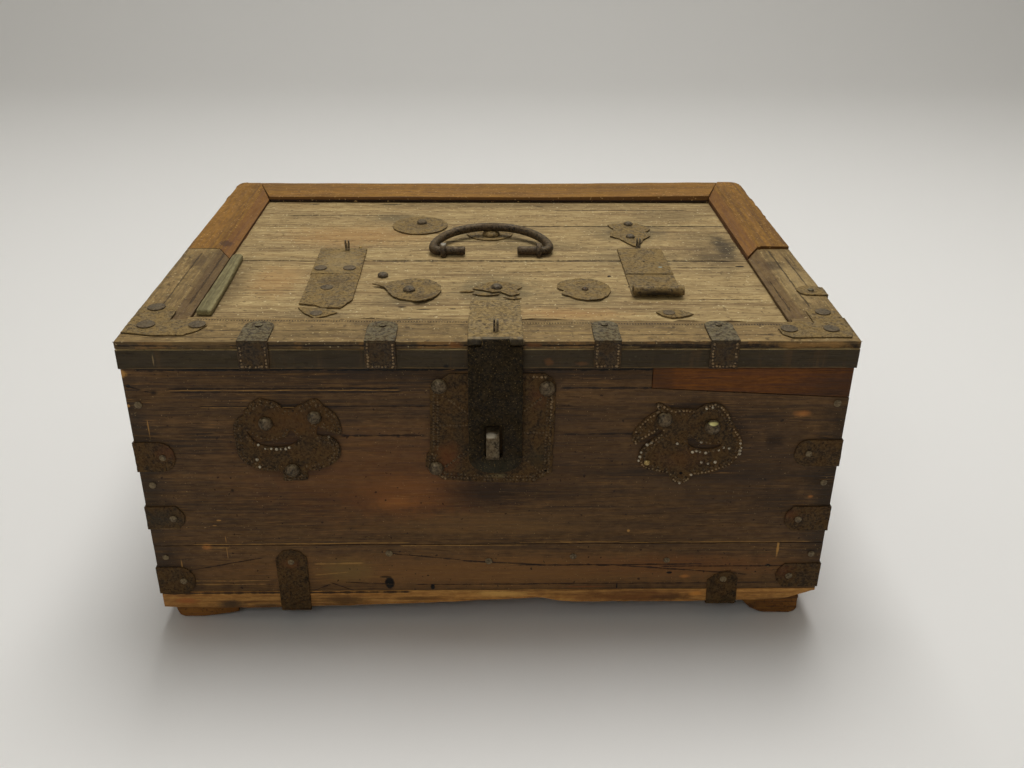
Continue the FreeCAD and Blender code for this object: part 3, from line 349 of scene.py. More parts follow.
def mixed(tree, mask, below, above, blend="MIX"):
    """Two colours by a mask."""
    made = add(
        tree, "ShaderNodeMix", {0: mask, 6: below, 7: above}, data_type="RGBA", blend_type=blend)
    return made.outputs[2]


def stretched(tree, vector, scale):
    """Coordinates drawn out by a scale on each axis."""
    inputs = {"Vector": vector, "Scale": scale}
    return add(tree, "ShaderNodeMapping", inputs).outputs[0]


def cloud(tree, vector, scale, detail=3.0, rough=0.55, distort=0.0):
    """Soft noise between 0 and 1."""
    inputs = {"Vector": vector, "Scale": scale, "Detail": detail, "Roughness": rough,
              "Distortion": distort}
    return add(tree, "ShaderNodeTexNoise", inputs).outputs["Fac"]


def group(name, inputs, outputs):
    """An empty node group with named inputs and outputs."""
    tree = bpy.data.node_groups.new(name, "ShaderNodeTree")
    for label, kind, value in inputs:
        socket = tree.interface.new_socket(name=label, in_out="INPUT", socket_type=kind)
        if value is not None:
            socket.default_value = value
    for label, kind in outputs:
        tree.interface.new_socket(name=label, in_out="OUTPUT", socket_type=kind)
    return tree, add(tree, "NodeGroupInput").outputs, add(tree, "NodeGroupOutput").inputs


def use(tree, name, **inputs):
    """A shared node group placed in a tree, with its own values; underscores stand for spaces."""
    made = add(tree, "ShaderNodeGroup", node_tree=bpy.data.node_groups[name])
    for key, value in inputs.items():
        socket = made.inputs[key.replace("_", " ").capitalize()]
        if isinstance(value, bpy.types.NodeSocket):
            tree.links.new(value, socket)
        else:
            socket.default_value = value
    return made.outputs


print("node helpers ready")

# %% [markdown]
# ## Shared effects
# Every board of the chest shows the same kind of grain: broad darker bands, fine fibres and short
# dark pores, all drawn out along the board. It is one node group, fed with coordinates whose x
# runs along the grain, so each kind of wood uses it with its own colours.

# %% Wood fibres
tree, given, out = group(
    "wood fibres",
    [("Vector", "NodeSocketVector", None)],
    [(label, "NodeSocketFloat") for label in (
        "Figure", "Fibres", "Pores", "Blotch", "Mottle", "Height")],
)
bands = cloud(tree, stretched(tree, given["Vector"], (3.5, 60, 60)), 1, 4, 0.6, 0.7)
fibres = cloud(tree, stretched(tree, given["Vector"], (14, 520, 520)), 1, 4, 0.7, 0.2)
pores = between(
    tree, cloud(tree, stretched(tree, given["Vector"], (60, 1100, 1100)), 1, 2, 0.5), 0.58, 0.7)
blotch = cloud(tree, stretched(tree, given["Vector"], (9, 22, 22)), 1, 4, 0.6, 0.4)
mottle = cloud(tree, stretched(tree, given["Vector"], (110, 300, 300)), 1, 4, 0.7, 0.3)
tree.links.new(between(tree, bands, 0.36, 0.64), out["Figure"])
tree.links.new(between(tree, fibres, 0.36, 0.64), out["Fibres"])
tree.links.new(pores, out["Pores"])
tree.links.new(between(tree, blotch, 0.36, 0.64), out["Blotch"])
tree.links.new(between(tree, mottle, 0.35, 0.65), out["Mottle"])
raised = times(tree, fibres, 0.6)
raised = plus(tree, raised, times(tree, bands, 0.35))
raised = plus(tree, raised, times(tree, mottle, 0.3))
raised = minus(tree, raised, times(tree, pores, 0.25))
tree.links.new(raised, out["Height"])
print("group", tree.name)

# %% [markdown]
# Cracks, seams and incised lines are one effect: a thin line at one place across the board, from
# one end to another along it. It wanders a little, its width varies and it fades out here and
# there, as a real crack does. It is given two plain numbers, so it works on any face.

# %% Crack line
tree, given, out = group(
    "crack line",
    [(label, "NodeSocketFloat", value) for label, value in (
        ("Along", None), ("Across", None), ("Start", 0.0), ("End", 0.1), ("Place", 0.0),
        ("Lean", 0.0), ("Wander", 0.001), ("Width", 0.0006))],
    [("Mask", "NodeSocketFloat")],
)
spot = add(tree, "ShaderNodeCombineXYZ", {"X": given["Along"], "Y": given["Place"]}).outputs[0]
drift = minus(tree, cloud(tree, spot, 45, 3, 0.6), 0.5)
drift = times(tree, drift, given["Wander"])
slope = times(tree, minus(tree, given["Along"], given["Start"]), given["Lean"])
off = minus(tree, minus(tree, given["Across"], given["Place"]), drift)
off = reckon(tree, "ABSOLUTE", minus(tree, off, slope))
width = times(tree, given["Width"], between(tree, cloud(tree, spot, 160, 2), 0.25, 0.75, 0.35, 1.5))
line = between(tree, reckon(tree, "DIVIDE", off, width), 0.5, 1.0, 1.0, 0.0)
starts = between(tree, minus(tree, given["Along"], given["Start"]), 0, 0.004)
ends = between(tree, minus(tree, given["End"], given["Along"]), 0, 0.004)
tree.links.new(times(tree, line, times(tree, starts, ends)), out["Mask"])
print("group", tree.name)

# %% [markdown]
# Stains, bare spots and knots are soft patches at known places. One group gives such a patch:
# how far a point is from the centre, measured in the patch's own reach, with a ragged edge.

# %% Patch
tree, given, out = group(
    "patch",
    [("Vector", "NodeSocketVector", None), ("Centre", "NodeSocketVector", (0, 0, 0)),
     ("Reach", "NodeSocketVector", (0.01, 0.01, 0.01)), ("Broken", "NodeSocketFloat", 0.0),
     ("Ragged", "NodeSocketFloat", 0.5), ("Soft", "NodeSocketFloat", 0.5)],
    [("Mask", "NodeSocketFloat")],
)
offset = add(
    tree, "ShaderNodeVectorMath", {0: given["Vector"], 1: given["Centre"]}, operation="SUBTRACT")
shares = add(
    tree, "ShaderNodeVectorMath", {0: offset.outputs[0], 1: given["Reach"]}, operation="DIVIDE")
far = add(tree, "ShaderNodeVectorMath", {0: shares.outputs[0]}, operation="LENGTH").outputs["Value"]
far = plus(tree, far, times(tree, given["Broken"], given["Ragged"]))
inner = minus(tree, 1.0, given["Soft"])
tree.links.new(between(tree, far, inner, 1.0, 1.0, 0.0), out["Mask"])
print("group", tree.name)

# %% [markdown]
# Old iron is never one colour. Rust comes in blotches a few millimetres wide with a fine grain
# and small pits, and the hammer has left shallow hollows. One group gives these as values, which
# each kind of iron turns into its own colours.

# %% Iron skin
tree, given, out = group(
    "iron skin",
    [("Vector", "NodeSocketVector", None)],
    [(label, "NodeSocketFloat") for label in ("Blotch", "Grain", "Pits", "Height")],
)
blotch = cloud(tree, given["Vector"], 95, 5, 0.65, 0.6)
grain = cloud(tree, given["Vector"], 620, 4, 0.7)
hollows = cloud(tree, given["Vector"], 170, 3, 0.6)
pits = cloud(tree, given["Vector"], 430, 2, 0.5)
tree.links.new(between(tree, blotch, 0.4, 0.6), out["Blotch"])
tree.links.new(between(tree, grain, 0.38, 0.62), out["Grain"])
pitted = between(tree, pits, 0.58, 0.68)
tree.links.new(pitted, out["Pits"])
skin = plus(tree, times(tree, hollows, 0.9), times(tree, grain, 0.4))
skin = minus(tree, skin, times(tree, pitted, 0.5))
tree.links.new(skin, out["Height"])
print("group", tree.name)

# %% [markdown]
# ## Finishes
# A finish is built up in layers, as grime and wear are on the real chest: a base first, then
# marks laid over it by masks. The class below keeps the colour, height and roughness so far, and
# joins them to the shader at the end.

# %% A finish in the making


class Finish:
    """The colour, height and roughness of a material so far."""

    def __init__(self, name):
        self.material = bpy.data.materials.new(name)
        self.material.use_nodes = True
        self.tree = self.material.node_tree
        self.shader = self.tree.nodes["Principled BSDF"]
        coordinates = add(self.tree, "ShaderNodeTexCoord")
        self.where = coordinates.outputs["Object"]
        apart = add(self.tree, "ShaderNodeSeparateXYZ", {0: self.where}).outputs
        self.x, self.y, self.z = apart
        turned = add(self.tree, "ShaderNodeSeparateXYZ", {0: coordinates.outputs["Normal"]}).outputs
        self.facing_y, self.facing_z = turned[1], turned[2]
        self.broken = minus(self.tree, cloud(self.tree, self.where, 130, 5, 0.65), 0.5)
        self.height = None
        self.rough = None

    def over(self, mask, colour, strength=1.0):
        """Lays a colour over the finish where the mask says."""
        if strength != 1.0:
            mask = times(self.tree, mask, strength)
        self.colour = mixed(self.tree, mask, self.colour, paint(colour))

    def darken(self, mask, shade):
        """Multiplies the finish by a shade where the mask says."""
        self.colour = mixed(self.tree, mask, self.colour, shade, "MULTIPLY")

    def ahead(self, mask):
        """Keeps a mask to the faces that look forwards."""
        forward = between(self.tree, self.facing_y, -0.8, -0.4, 1, 0)
        return times(self.tree, mask, forward)

    def sink(self, mask, depth):
        """Lowers the surface where the mask says; depth is in the units of the bump."""
        self.height = minus(self.tree, self.height, times(self.tree, mask, depth))

    def through(self, x, z, half_length, half_height, ragged, soft):
        """A patch on an upright board, deep enough to go right through it."""
        return self.patch((x, 10, z), (half_length, 400, half_height), ragged, soft)

    def groove(self, mask, colour, depth, strength=1.0):
        """A coloured mark that is also sunk."""
        self.over(mask, colour, strength)
        self.sink(mask, depth)

    def patch(self, centre, reach, ragged, soft):
        """A soft patch at a place in millimetres."""
        return use(self.tree, "patch", vector=self.where, centre=at(*centre),
                   reach=Vector(reach) * mm, broken=self.broken, ragged=ragged, soft=soft)["Mask"]

    def spots(self, ragged, soft, table):
        """Soft patches from a table of centre, reach, colour and strength."""
        for centre, reach, colour, strength in table:
            self.over(self.patch(centre, reach, ragged, soft), colour, strength)

    def line_x(self, across, start, end, place, width, wander, lean=0.0):
        """A line along x; across is the y or z socket and place is in metres."""
        return use(
            self.tree, "crack line", along=self.x, across=across, start=start * mm, end=end * mm,
            place=place, lean=lean, wander=wander * mm, width=width * mm)["Mask"]

    def line_y(self, start, end, place, width, wander):
        """A line along y, on the lid; all places are in millimetres."""
        return use(
            self.tree, "crack line", along=self.y, across=self.x, start=lid_front + start * mm,
            end=lid_front + end * mm, place=place * mm, lean=0.0, wander=wander * mm,
            width=width * mm)["Mask"]

    def specks(self, scale, rarity, colour, strength):
        """Small scattered specks, fewer as the rarity rises."""
        spots = cloud(self.tree, self.where, scale, 1, 0.5)
        self.over(between(self.tree, spots, rarity, rarity + 0.04), colour, strength)

    def finish(self, bump, depth, metallic=0.0, gloss=0.25):
        """Joins the layers to the shader and returns the material."""
        self.tree.links.new(self.colour, self.shader.inputs["Base Color"])
        if self.rough is not None:
            self.tree.links.new(self.rough, self.shader.inputs["Roughness"])
        self.shader.inputs["Metallic"].default_value = metallic
        self.shader.inputs["Specular IOR Level"].default_value = gloss
        inputs = {"Height": self.height, "Strength": bump, "Distance": depth}
        bumped = add(self.tree, "ShaderNodeBump", inputs)
        self.tree.links.new(bumped.outputs[0], self.shader.inputs["Normal"])
        return self.material


def wood(name, dark, middle, light, along="x", pores=0.7, fibre=0.5):
    """A wood finish with its grain along x or y, ready for marks."""
    made = Finish(name)
    tree = made.tree
    if along == "x":
        vector = made.where
    else:
        vector = add(
            tree, "ShaderNodeCombineXYZ", {"X": made.y, "Y": made.x, "Z": made.z}).outputs[0]
    grain = use(tree, "wood fibres", vector=vector)
    made.grain = grain
    made.colour = mixed(tree, grain["Figure"], paint(dark), paint(middle))
    made.over(grain["Blotch"], middle, 0.4)
    made.over(grain["Fibres"], light, fibre)
    made.darken(times(tree, grain["Mottle"], 0.8), (0.62, 0.58, 0.54, 1))
    made.over(grain["Pores"], dark, pores)
    made.height = grain["Height"]
    made.rough = between(tree, grain["Fibres"], 0, 1, 0.62, 0.85)
    return made


def iron(name, dark, middle, light, dust=None, dusty=0.8, gloss=(0.5, 0.8)):
    """An iron finish; dust lies on faces that look up."""
    made = Finish(name)
    tree = made.tree
    skin = use(tree, "iron skin", vector=made.where)
    made.colour = mixed(tree, skin["Blotch"], paint(dark), paint(middle))
    made.over(skin["Grain"], light, 0.5)
    made.over(skin["Pits"], dark, 0.8)
    if dust:
        lying = between(tree, made.facing_z, 0.35, 0.95)
        thick = between(tree, cloud(tree, made.where, 330, 5, 0.72), 0.4, 0.58)
        made.over(times(tree, lying, thick), dust, dusty)
    made.height = skin["Height"]
    made.rough = between(tree, skin["Blotch"], 0, 1, *gloss)
    return made


print("finish tools ready")

# %% [markdown]
# ## Wood of the front
# The front boards are dark brown, nearly black along the top and the ends, with warmer bare wood
# where hands and wear have been. Long incised lines and cracks run along them.

# %% Front wood
# Colour patches on the front: tone, stains and bare spots, and one painted shadow below the lock
# plate.
front_tones_and_shadow = (
    ((0, -195), (320, 25), (128, 88, 46), 0.55), ((0, -152), (130, 16), (112, 82, 46), 0.5),
    ((-110, -194), (30, 16), (112, 90, 48), 0.55), ((-80, -110), (150, 60), (104, 62, 28), 0.4),
    ((-60, -125), (60, 26), (126, 76, 34), 0.45), ((150, -190), (120, 14), (104, 60, 28), 0.4),
    ((-70, -132), (22, 8), (142, 88, 38), 0.5), ((180, -105), (110, 70), (44, 32, 20), 0.55),
    # The second patch on the next line is painted shadow below the lock plate.
    ((60, -95), (60, 60), (50, 34, 20), 0.4), ((0, -122), (56, 20), (24, 18, 12), 0.75),
    ((0, -24), (300, 12), (34, 24, 14), 0.7), ((-252, -110), (24, 120), (36, 28, 18), 0.7),
    ((252, -120), (28, 120), (32, 25, 16), 0.75), ((-250, -200), (40, 40), (34, 26, 18), 0.6),
    ((205, -80), (10, 8), (30, 20, 12), 0.7), ((215, -132), (30, 16), (30, 22, 14), 0.5),
    ((-189, -120.5), (2, 2), (20, 14, 9), 0.9), ((-234, -40), (3.5, 3), (22, 16, 10), 0.9),
    ((-66, -75), (2, 2), (20, 14, 9), 0.9), ((222, -58), (9, 4), (166, 106, 50), 0.7),
    ((150, -201), (6, 2.4), (166, 106, 50), 0.7), ((-20, -95), (3, 8), (166, 106, 50), 0.7),
    ((238, -128), (3, 2), (166, 106, 50), 0.7), ((-214, -171), (5, 4), (166, 106, 50), 0.7),
    ((73, -210.4), (27, 1.2), (116, 68, 32), 0.7))
cracks = (
    (-225, -62, -36.9, 1.0, 0.0), (48, 128, -36.9, 1.0, 0.0), (-225, -60, -39.6, 0.7, 0.0),
    (-205, 60, -51.0, 0.7, 0.0), (-108, -45, -74.6, 1.1, 0.0), (50, 120, -74.0, 0.7, 0.0),
    (-256, -235, -33.5, 0.8, -0.3), (85, 200, -167.6, 0.6, -0.03), (-254, 254, -169.7, 0.35, 0.0),
    (-236, -172, -194.0, 0.7, 0.2), (-79, -22, -177.5, 0.6, -0.12), (-24, 40, -185.0, 0.9, -0.07),
    (20, 165, -189.6, 0.8, 0.0), (95, 200, -190.0, 0.8, -0.09), (130, 252, -191.5, 0.7, 0.0),
    (-60, 210, -207.6, 0.6, 0.0), (-112, -78, -205.0, 0.6, -0.05), (-125, -100, -204.5, 0.6, -0.45),
    (-140, -122, -214.0, 0.6, 0.45))
# Painted highlight lines, golden, along the board seam and the lips of some cracks.
highlight_lines = (
    (-225, -60, -168.8, 0.5, 0.004), (20, 100, -168.2, 0.5, 0.0), (-70, 30, -170.8, 0.4, 0.0),
    (96, 246, -168.7, 0.4, 0.0), (-225, -62, -38.2, 0.4, 0.0), (-205, -120, -51.8, 0.4, 0.0),
    (-216, -195, -172.0, 0.5, 0.0), (-232, -168, -203.0, 0.5, 0.0), (-228, -172, -206.5, 0.5, 0.0),
    (-136, -95, -187.5, 0.8, 0.02), (-136, -108, -198.0, 0.5, 0.1), (230, 238, -190.0, 0.9, -0.3))
holes = (
    (-78, -206, 4.0, 6.5), (-81, -200, 5, 1.0), (-45, -210, 2, 3), (98, -210, 0.7, 3.2),
    (138, -197.5, 2.4, 1.2), (214, -191, 2.2, 1.6), (86, -190, 7, 0.9), (-250.6, -34.5, 2.0, 1.6))
rubs = (
    (-199, -165, 0.5, 4, 0.5), (-199.3, -177, 0.5, 8, 0.45), (-241.8, -68, 0.6, 8, 0.6),
    (219.6, -174, 1.2, 11, 0.8), (-202, -147, 2.4, 0.9, 0.7), (-206, -151.5, 1.8, 0.6, 0.5),
    (-235, -188, 0.7, 7, 0.5), (-254, -25, 5, 4, 0.8), (-253.2, -50.2, 1.6, 1.4, 0.7),
    (104, -158, 1.6, 1.6, 0.7))


def front_finish(name, lowest, highest):
    """The front's wood with the marks that lie between two levels."""
    made = wood(name, (46, 32, 18), (84, 60, 34), (126, 94, 56), fibre=0.45)
    for (x, z), (half_length, half_height), shade, strength in front_tones_and_shadow:
        if lowest - half_height < z < highest + half_height:
            made.over(made.through(x, z, half_length, half_height, 0.9, 0.85), shade, strength)
    if highest > -60:
        # Painted shade on the wood round the two escutcheons and the lock plate.
        for x, z, half_length, half_height in (
                (-145, -78, 44, 37), (145, -78, 44, 37), (1, -70, 50, 49)):
            made.darken(
                made.through(x, z, half_length, half_height, 0.2, 0.25), (0.5, 0.48, 0.46, 1))
        # A painted black shadow line just under the lid's edge.
        made.over(made.ahead(made.line_x(made.z, -246, 254, level(-22.2), 1.3, 0.3)), (8, 6, 4))
    for start, end, place, width, lean in cracks:
        if lowest <= place <= highest:
            mark = made.line_x(made.z, start, end, level(place), width, 1.2, lean)
            made.groove(mark, (22, 14, 9), 0.8, 0.85)
    # Painted highlight lines.
    for start, end, place, width, lean in highlight_lines:
        if lowest <= place <= highest:
            mark = made.line_x(made.z, start, end, level(place), width, 0.8, lean)
            made.over(mark, (164, 122, 62), 0.55)
    for x, z, half_length, half_height in holes:
        if lowest <= z <= highest:
            hole = made.through(x, z, half_length, half_height, 0.8, 0.35)
            made.groove(hole, (12, 9, 6), 1.2)
    for x, z, half_length, half_height, strength in rubs:
        if lowest <= z <= highest:
            made.over(
                made.through(x, z, half_length, half_height, 1.6, 0.5), (176, 130, 66), strength)
    field = stretched(made.tree, made.where, (9, 1, 420))
    scratch = minus(made.tree, cloud(made.tree, field, 1, 2, 0.5), 0.5)
    scratch = between(made.tree, reckon(made.tree, "ABSOLUTE", scratch), 0.0, 0.014, 1, 0)
    rubbed_here = between(made.tree, cloud(made.tree, made.where, 26, 2), 0.48, 0.6)
    made.over(times(made.tree, scratch, rubbed_here), (156, 112, 58), 0.35)
    made.specks(880, 0.73, (184, 152, 100), 0.5)
    made.specks(300, 0.7, (24, 16, 10), 0.8)
    return made.finish(0.5, 0.0012)


front_wood = front_finish("front_wood", -169.9, -20)
low_front_wood = front_finish("low_front_wood", -216, -169.7)
print("materials", front_wood.name, low_front_wood.name)

# %% Patch, walls and base
patch = wood("patch_wood", (56, 30, 8), (92, 50, 12), (134, 82, 26))
patch.over(patch.through(254, -40, 60, 30, 0.7, 0.8), (48, 30, 16), 0.6)
patch.over(patch.through(120, -30, 12, 30, 0.7, 0.8), (48, 30, 16), 0.5)
patch_wood = patch.finish(0.6, 0.0014)

walls = wood("wall_wood", (50, 35, 20), (84, 60, 34), (118, 88, 52), "y")
walls.over(between(walls.tree, walls.z, level(-60), level(-22)), (36, 27, 18), 0.5)
walls.specks(560, 0.69, (170, 132, 80), 0.5)
wall_wood = walls.finish(0.6, 0.0014)

back = wood("back_wood", (50, 35, 20), (84, 60, 34), (118, 88, 52))
back.specks(560, 0.69, (170, 132, 80), 0.5)
back_wood = back.finish(0.6, 0.0014)

base = wood("base_wood", (106, 68, 30), (172, 118, 56), (208, 158, 88), pores=0.5)
base.spots(1.0, 0.7, (
    ((-202, 2, -226), (14, 400, 6), (58, 46, 34), 0.85),
    ((-175, 2, -227), (16, 400, 3), (70, 52, 34), 0.6),
    ((-114, 2, -222), (22, 400, 6), (74, 50, 24), 0.7),
    ((-60, 2, -221), (26, 400, 3), (86, 58, 28), 0.6),
    ((110, 2, -220), (70, 400, 7), (92, 52, 24), 0.7),
    ((140, 2, -221), (20, 400, 4), (60, 38, 20), 0.6),
    ((-236, 2, -222), (14, 400, 4), (150, 84, 40), 0.7),
    ((8, 2, -217), (30, 400, 4), (206, 158, 84), 0.7),
    ((161, 2, -218), (7, 400, 3), (190, 124, 52), 0.8)))
# A painted black shadow line on the bottom board, just under the front wall.
painted_shadow_under_wall = base.line_x(base.z, -256, -60, level(-214.6), 1.3, 0.6)
base.over(base.ahead(painted_shadow_under_wall), (24, 16, 10), 0.9)
base_wood = base.finish(0.7, 0.0016)
feet = wood("foot_wood", (58, 32, 8), (108, 66, 20), (156, 104, 42), pores=0.5)
feet.over(feet.patch((-225, 2, -240), (34, 60, 12), 1.0, 0.7), (140, 94, 40), 0.5)
feet.over(
    between(feet.tree, cloud(feet.tree, feet.where, 420, 3, 0.6), 0.56, 0.64), (52, 32, 12), 0.6)
foot_wood = feet.finish(0.8, 0.0016)
print("materials", patch_wood.name, wall_wood.name, back_wood.name, base_wood.name)

# %% [markdown]
# ## Wood of the lid
# The lid's panel is dry, dusty and khaki, with dark water stains around the iron. Its front edge
# under the frame is nearly black. The old front frame is grey-brown, while the rear
# stiles and the back rail are younger, orange-brown wood.

# %% Panel wood
panel = wood("panel_wood", (116, 90, 54), (164, 137, 88), (206, 184, 132), pores=0.5, fibre=0.55)
grey, ochre, umber = (84, 76, 54), (168, 122, 66), (74, 58, 36)
# Panel marks are stains, except two umber bands along the foot of the back rail and of the front
# rail, which are painted shade.
panel_marks = (
    ((5, 112), (46, 42), grey, 0.7), ((0, 250), (60, 34), grey, 0.5),
    ((128, 255), (52, 44), grey, 0.6), ((-90, 292), (30, 20), grey, 0.6),
    ((190, 200), (40, 90), umber, 0.45), ((-206, 120), (22, 90), umber, 0.45),
    ((-62, 92), (38, 26), grey, 0.45), ((73, 98), (34, 26), grey, 0.45),
    ((120, 180), (60, 40), grey, 0.35), ((40, 215), (70, 22), grey, 0.35),
    # First mark on the next line: painted shade at the foot of the back rail.
    ((0, 334), (220, 14), umber, 0.45), ((-125, 60), (40, 18), grey, 0.35),
    ((-120, 240), (90, 40), ochre, 0.4), ((60, 62), (60, 16), ochre, 0.4),
    ((-170, 130), (30, 50), ochre, 0.35), ((205, 215), (14, 50), (52, 44, 32), 0.8),
    ((190, 185), (30, 14), (58, 48, 34), 0.5), ((170, 300), (50, 30), umber, 0.4),
    # Second mark on the next line: painted shade behind the front rail.
    ((-178, 300), (30, 8), umber, 0.4), ((0, 44), (216, 5), umber, 0.5))
for (x, y), (half_length, half_depth), shade, strength in panel_marks:
    mark = panel.patch((x, y, panel_level), (half_length, half_depth, 9), 1.0, 0.85)
    panel.over(mark, shade, strength)
for start, end, place, width, wander in (
        (-100, 203, 176, 2.0, 0.6), (-216, -100, 176, 1.2, 1.0), (0, 216, 269, 1.4, 1.5),
        (-140, 40, 227, 0.9, 1.2), (-190, -60, 300, 0.9, 1.5), (60, 190, 318, 0.9, 1.5),
        (150, 205, 160, 1.0, 1.0), (-30, 90, 150, 0.7, 1.5), (-200, -150, 110, 0.7, 1.5),
        (150, 210, 90, 0.8, 1.5)):
    mark = panel.line_x(panel.y, start, end, lid_front + place * mm, width, wander)
    panel.groove(mark, (50, 36, 20), 0.8, 0.85)
for x, y, half_length, half_depth in (
        (207.4, 163, 4.5, 1.8), (110, 117, 1.8, 1.5), (128, 170, 1.8, 1.5), (-66, 76, 4, 1.2),
        (-50, 71, 6, 0.9), (-28, 72, 3, 1.0), (-96, 336, 12, 1.4), (48, 330, 5, 1.2),
        (-172, 336, 6, 1.0)):
    hole = panel.patch((x, y, panel_level), (half_length, half_depth, 9), 0.5, 0.35)
    panel.groove(hole, (22, 16, 10), 1.0)
panel.specks(420, 0.7, (222, 206, 160), 0.6)
panel.specks(230, 0.66, (78, 60, 36), 0.5)
# Faces of the boards that do not look up are coloured nearly black.
edge = between(panel.tree, panel.facing_z, 0.2, 0.8, 1, 0)
panel.over(edge, (38, 30, 18), 0.94)
under = between(panel.tree, panel.facing_z, -0.9, -0.6, 1, 0)
panel.over(times(panel.tree, under, panel.grain["Fibres"]), (112, 84, 50), 0.7)
edge_streaks = cloud(panel.tree, stretched(panel.tree, panel.where, (70, 70, 9)), 1, 4, 0.7)
panel.over(
    times(panel.tree, edge, between(panel.tree, edge_streaks, 0.52, 0.68)), (76, 56, 32), 0.65)
for centre, reach, shade, strength in (
        ((40, 0, -16), (5, 9, 4), (104, 66, 34), 0.6),
        ((63, 0, -17), (5, 9, 2), (104, 66, 34), 0.5),
        ((-30.5, 0, -18.8), (2.8, 9, 1.8), (10, 8, 6), 1.0),
        ((-229.8, 0, -14), (0.6, 9, 6), (150, 124, 84), 0.6)):
    panel.over(panel.ahead(panel.patch(centre, reach, 1.5, 0.7)), shade, strength)
lip = panel.line_x(panel.z, -250, 250, level(-20.2), 0.5, 0.3)
panel.over(panel.ahead(lip), (112, 86, 50), 0.5)
panel_wood = panel.finish(0.7, 0.0014)
print("material", panel_wood.name)

# %% Frame woods


def old_frame(name, along):
    """Grey-brown wood of the front rail and front stiles, with a rubbed pale arris."""
    made = wood(name, (98, 78, 46), (142, 116, 72), (178, 152, 100), along, 0.6, 0.45)
    grime = cloud(made.tree, made.where, 90, 5, 0.7)
    made.over(between(made.tree, grime, 0.5, 0.64), (84, 68, 42), 0.55)
    side = between(made.tree, made.facing_z, 0.2, 0.85, 1, 0)
    made.over(side, (66, 50, 30), 0.85)
    rubbed = between(made.tree, cloud(made.tree, made.where, 55, 4, 0.65), 0.5, 0.62)
    made.over(times(made.tree, side, rubbed), (128, 94, 52), 0.7)
    made.specks(420, 0.69, (208, 188, 140), 0.5)
    made.specks(260, 0.67, (62, 46, 28), 0.6)
    return made


rail = old_frame("old_rail_wood", "x")
for start, end, place in ((-255, 255, -3.2), (100, 255, -4.6)):
    mark = rail.line_x(rail.z, start, end, level(place), 0.8, 1.2)
    rail.groove(mark, (28, 20, 12), 0.8, 0.9)
for centre, reach, shade, strength in (
        ((-24, 0, -3), (6, 9, 3), (128, 82, 40), 0.6),
        ((30, 0, -3), (7, 9, 3), (120, 76, 36), 0.55),
        ((220, 0, -3), (40, 9, 4), (160, 120, 66), 0.65),
        ((-200, 0, -2), (50, 9, 3), (120, 94, 56), 0.5)):
    rail.over(rail.ahead(rail.patch(centre, reach, 1.6, 0.7)), shade, strength)
serrated = rail.line_x(rail.y, -210, 214, lid_front + 38.4 * mm, 1.3, 0.2, -0.0237)
teeth = between(
    rail.tree,
    add(rail.tree, "ShaderNodeTexWave", {"Vector": rail.where, "Scale": 160.0}).outputs["Fac"], 0.4,
    0.6)
rail.over(times(rail.tree, serrated, teeth), (46, 34, 20), 0.9)
for start, end, place, width in (
        (-200, -90, 20, 0.8), (60, 200, 12, 0.8), (-60, 60, 30, 0.6), (-240, -150, 8, 0.8)):
    mark = rail.line_x(rail.y, start, end, lid_front + place * mm, width, 2.0)
    rail.groove(mark, (60, 46, 28), 0.6, 0.7)
rail_wood = rail.finish(0.7, 0.0014)
stile = old_frame("old_stile_wood", "y")
stile.over(stile.patch((232, 150, 0), (12, 14, 9), 0.7, 0.6), (66, 50, 32), 0.75)
stile.over(stile.patch((-238, 160, 0), (9, 20, 9), 0.5, 0.6), (70, 54, 36), 0.6)
stile.over(stile.patch((240, 110, 0), (20, 60, 9), 1.0, 0.8), (172, 148, 100), 0.45)
stile.over(
    between(stile.tree, reckon(stile.tree, "ABSOLUTE", stile.x), 0.2265, 0.2285, 1, 0),
    (84, 62, 38), 0.6)
hole = stile.patch((-219, 181, 0), (1.8, 1.8, 9), 0.4, 0.4)
stile.over(hole, (18, 13, 8))
for start, end, place, width in (
        (70, 186, -222, 0.9), (60, 180, -240, 0.8), (60, 186, 236, 0.9), (100, 170, 246, 0.8),
        (56, 120, 221, 0.6)):
    mark = stile.line_y(start, end, place, width, 2.0)
    stile.groove(mark, (58, 44, 26), 0.6, 0.75)
stile_wood = stile.finish(0.7, 0.0014)


def new_frame(name, along):
    """Younger orange-brown wood with darker side faces, painted nearly black as shadow along their
    foot.
    """
    made = wood(name, (96, 64, 22), (140, 98, 38), (170, 128, 60), along, 0.5, 0.45)
    side = between(made.tree, made.facing_z, 0.3, 0.9, 1, 0)
    made.over(side, (84, 54, 26), 0.7)
    # Painted shadow: the lowest few millimetres of the side faces, where the raised frame meets the
    # panel, are nearly black.
    low = between(made.tree, made.z, level(-3.6), level(-2.6), 1, 0)
    made.over(times(made.tree, side, low), (26, 15, 7), 0.92)
    made.specks(480, 0.68, (196, 160, 104), 0.6)
    made.specks(240, 0.68, (78, 50, 26), 0.5)
    return made


rear_stile = new_frame("new_stile_wood", "y")
inner_band = between(
    rear_stile.tree, reckon(rear_stile.tree, "ABSOLUTE", rear_stile.x), 0.2262, 0.2282, 1, 0)
rear_stile.over(inner_band, (110, 70, 38), 0.45)
rear_stile.over(rear_stile.patch((-226, 205, 0), (7, 9, 9), 0.7, 0.5), (66, 44, 32), 0.7)
new_stile_wood = rear_stile.finish(0.6, 0.0012)
back_rail = new_frame("new_rail_wood", "x")
new_rail_wood = back_rail.finish(0.6, 0.0012)
bead = wood("bead_wood", (88, 80, 50), (128, 118, 78), (160, 150, 108), "y")
bead_wood = bead.finish(0.7, 0.0012)
print("materials", rail_wood.name, stile_wood.name, new_stile_wood.name, new_rail_wood.name)
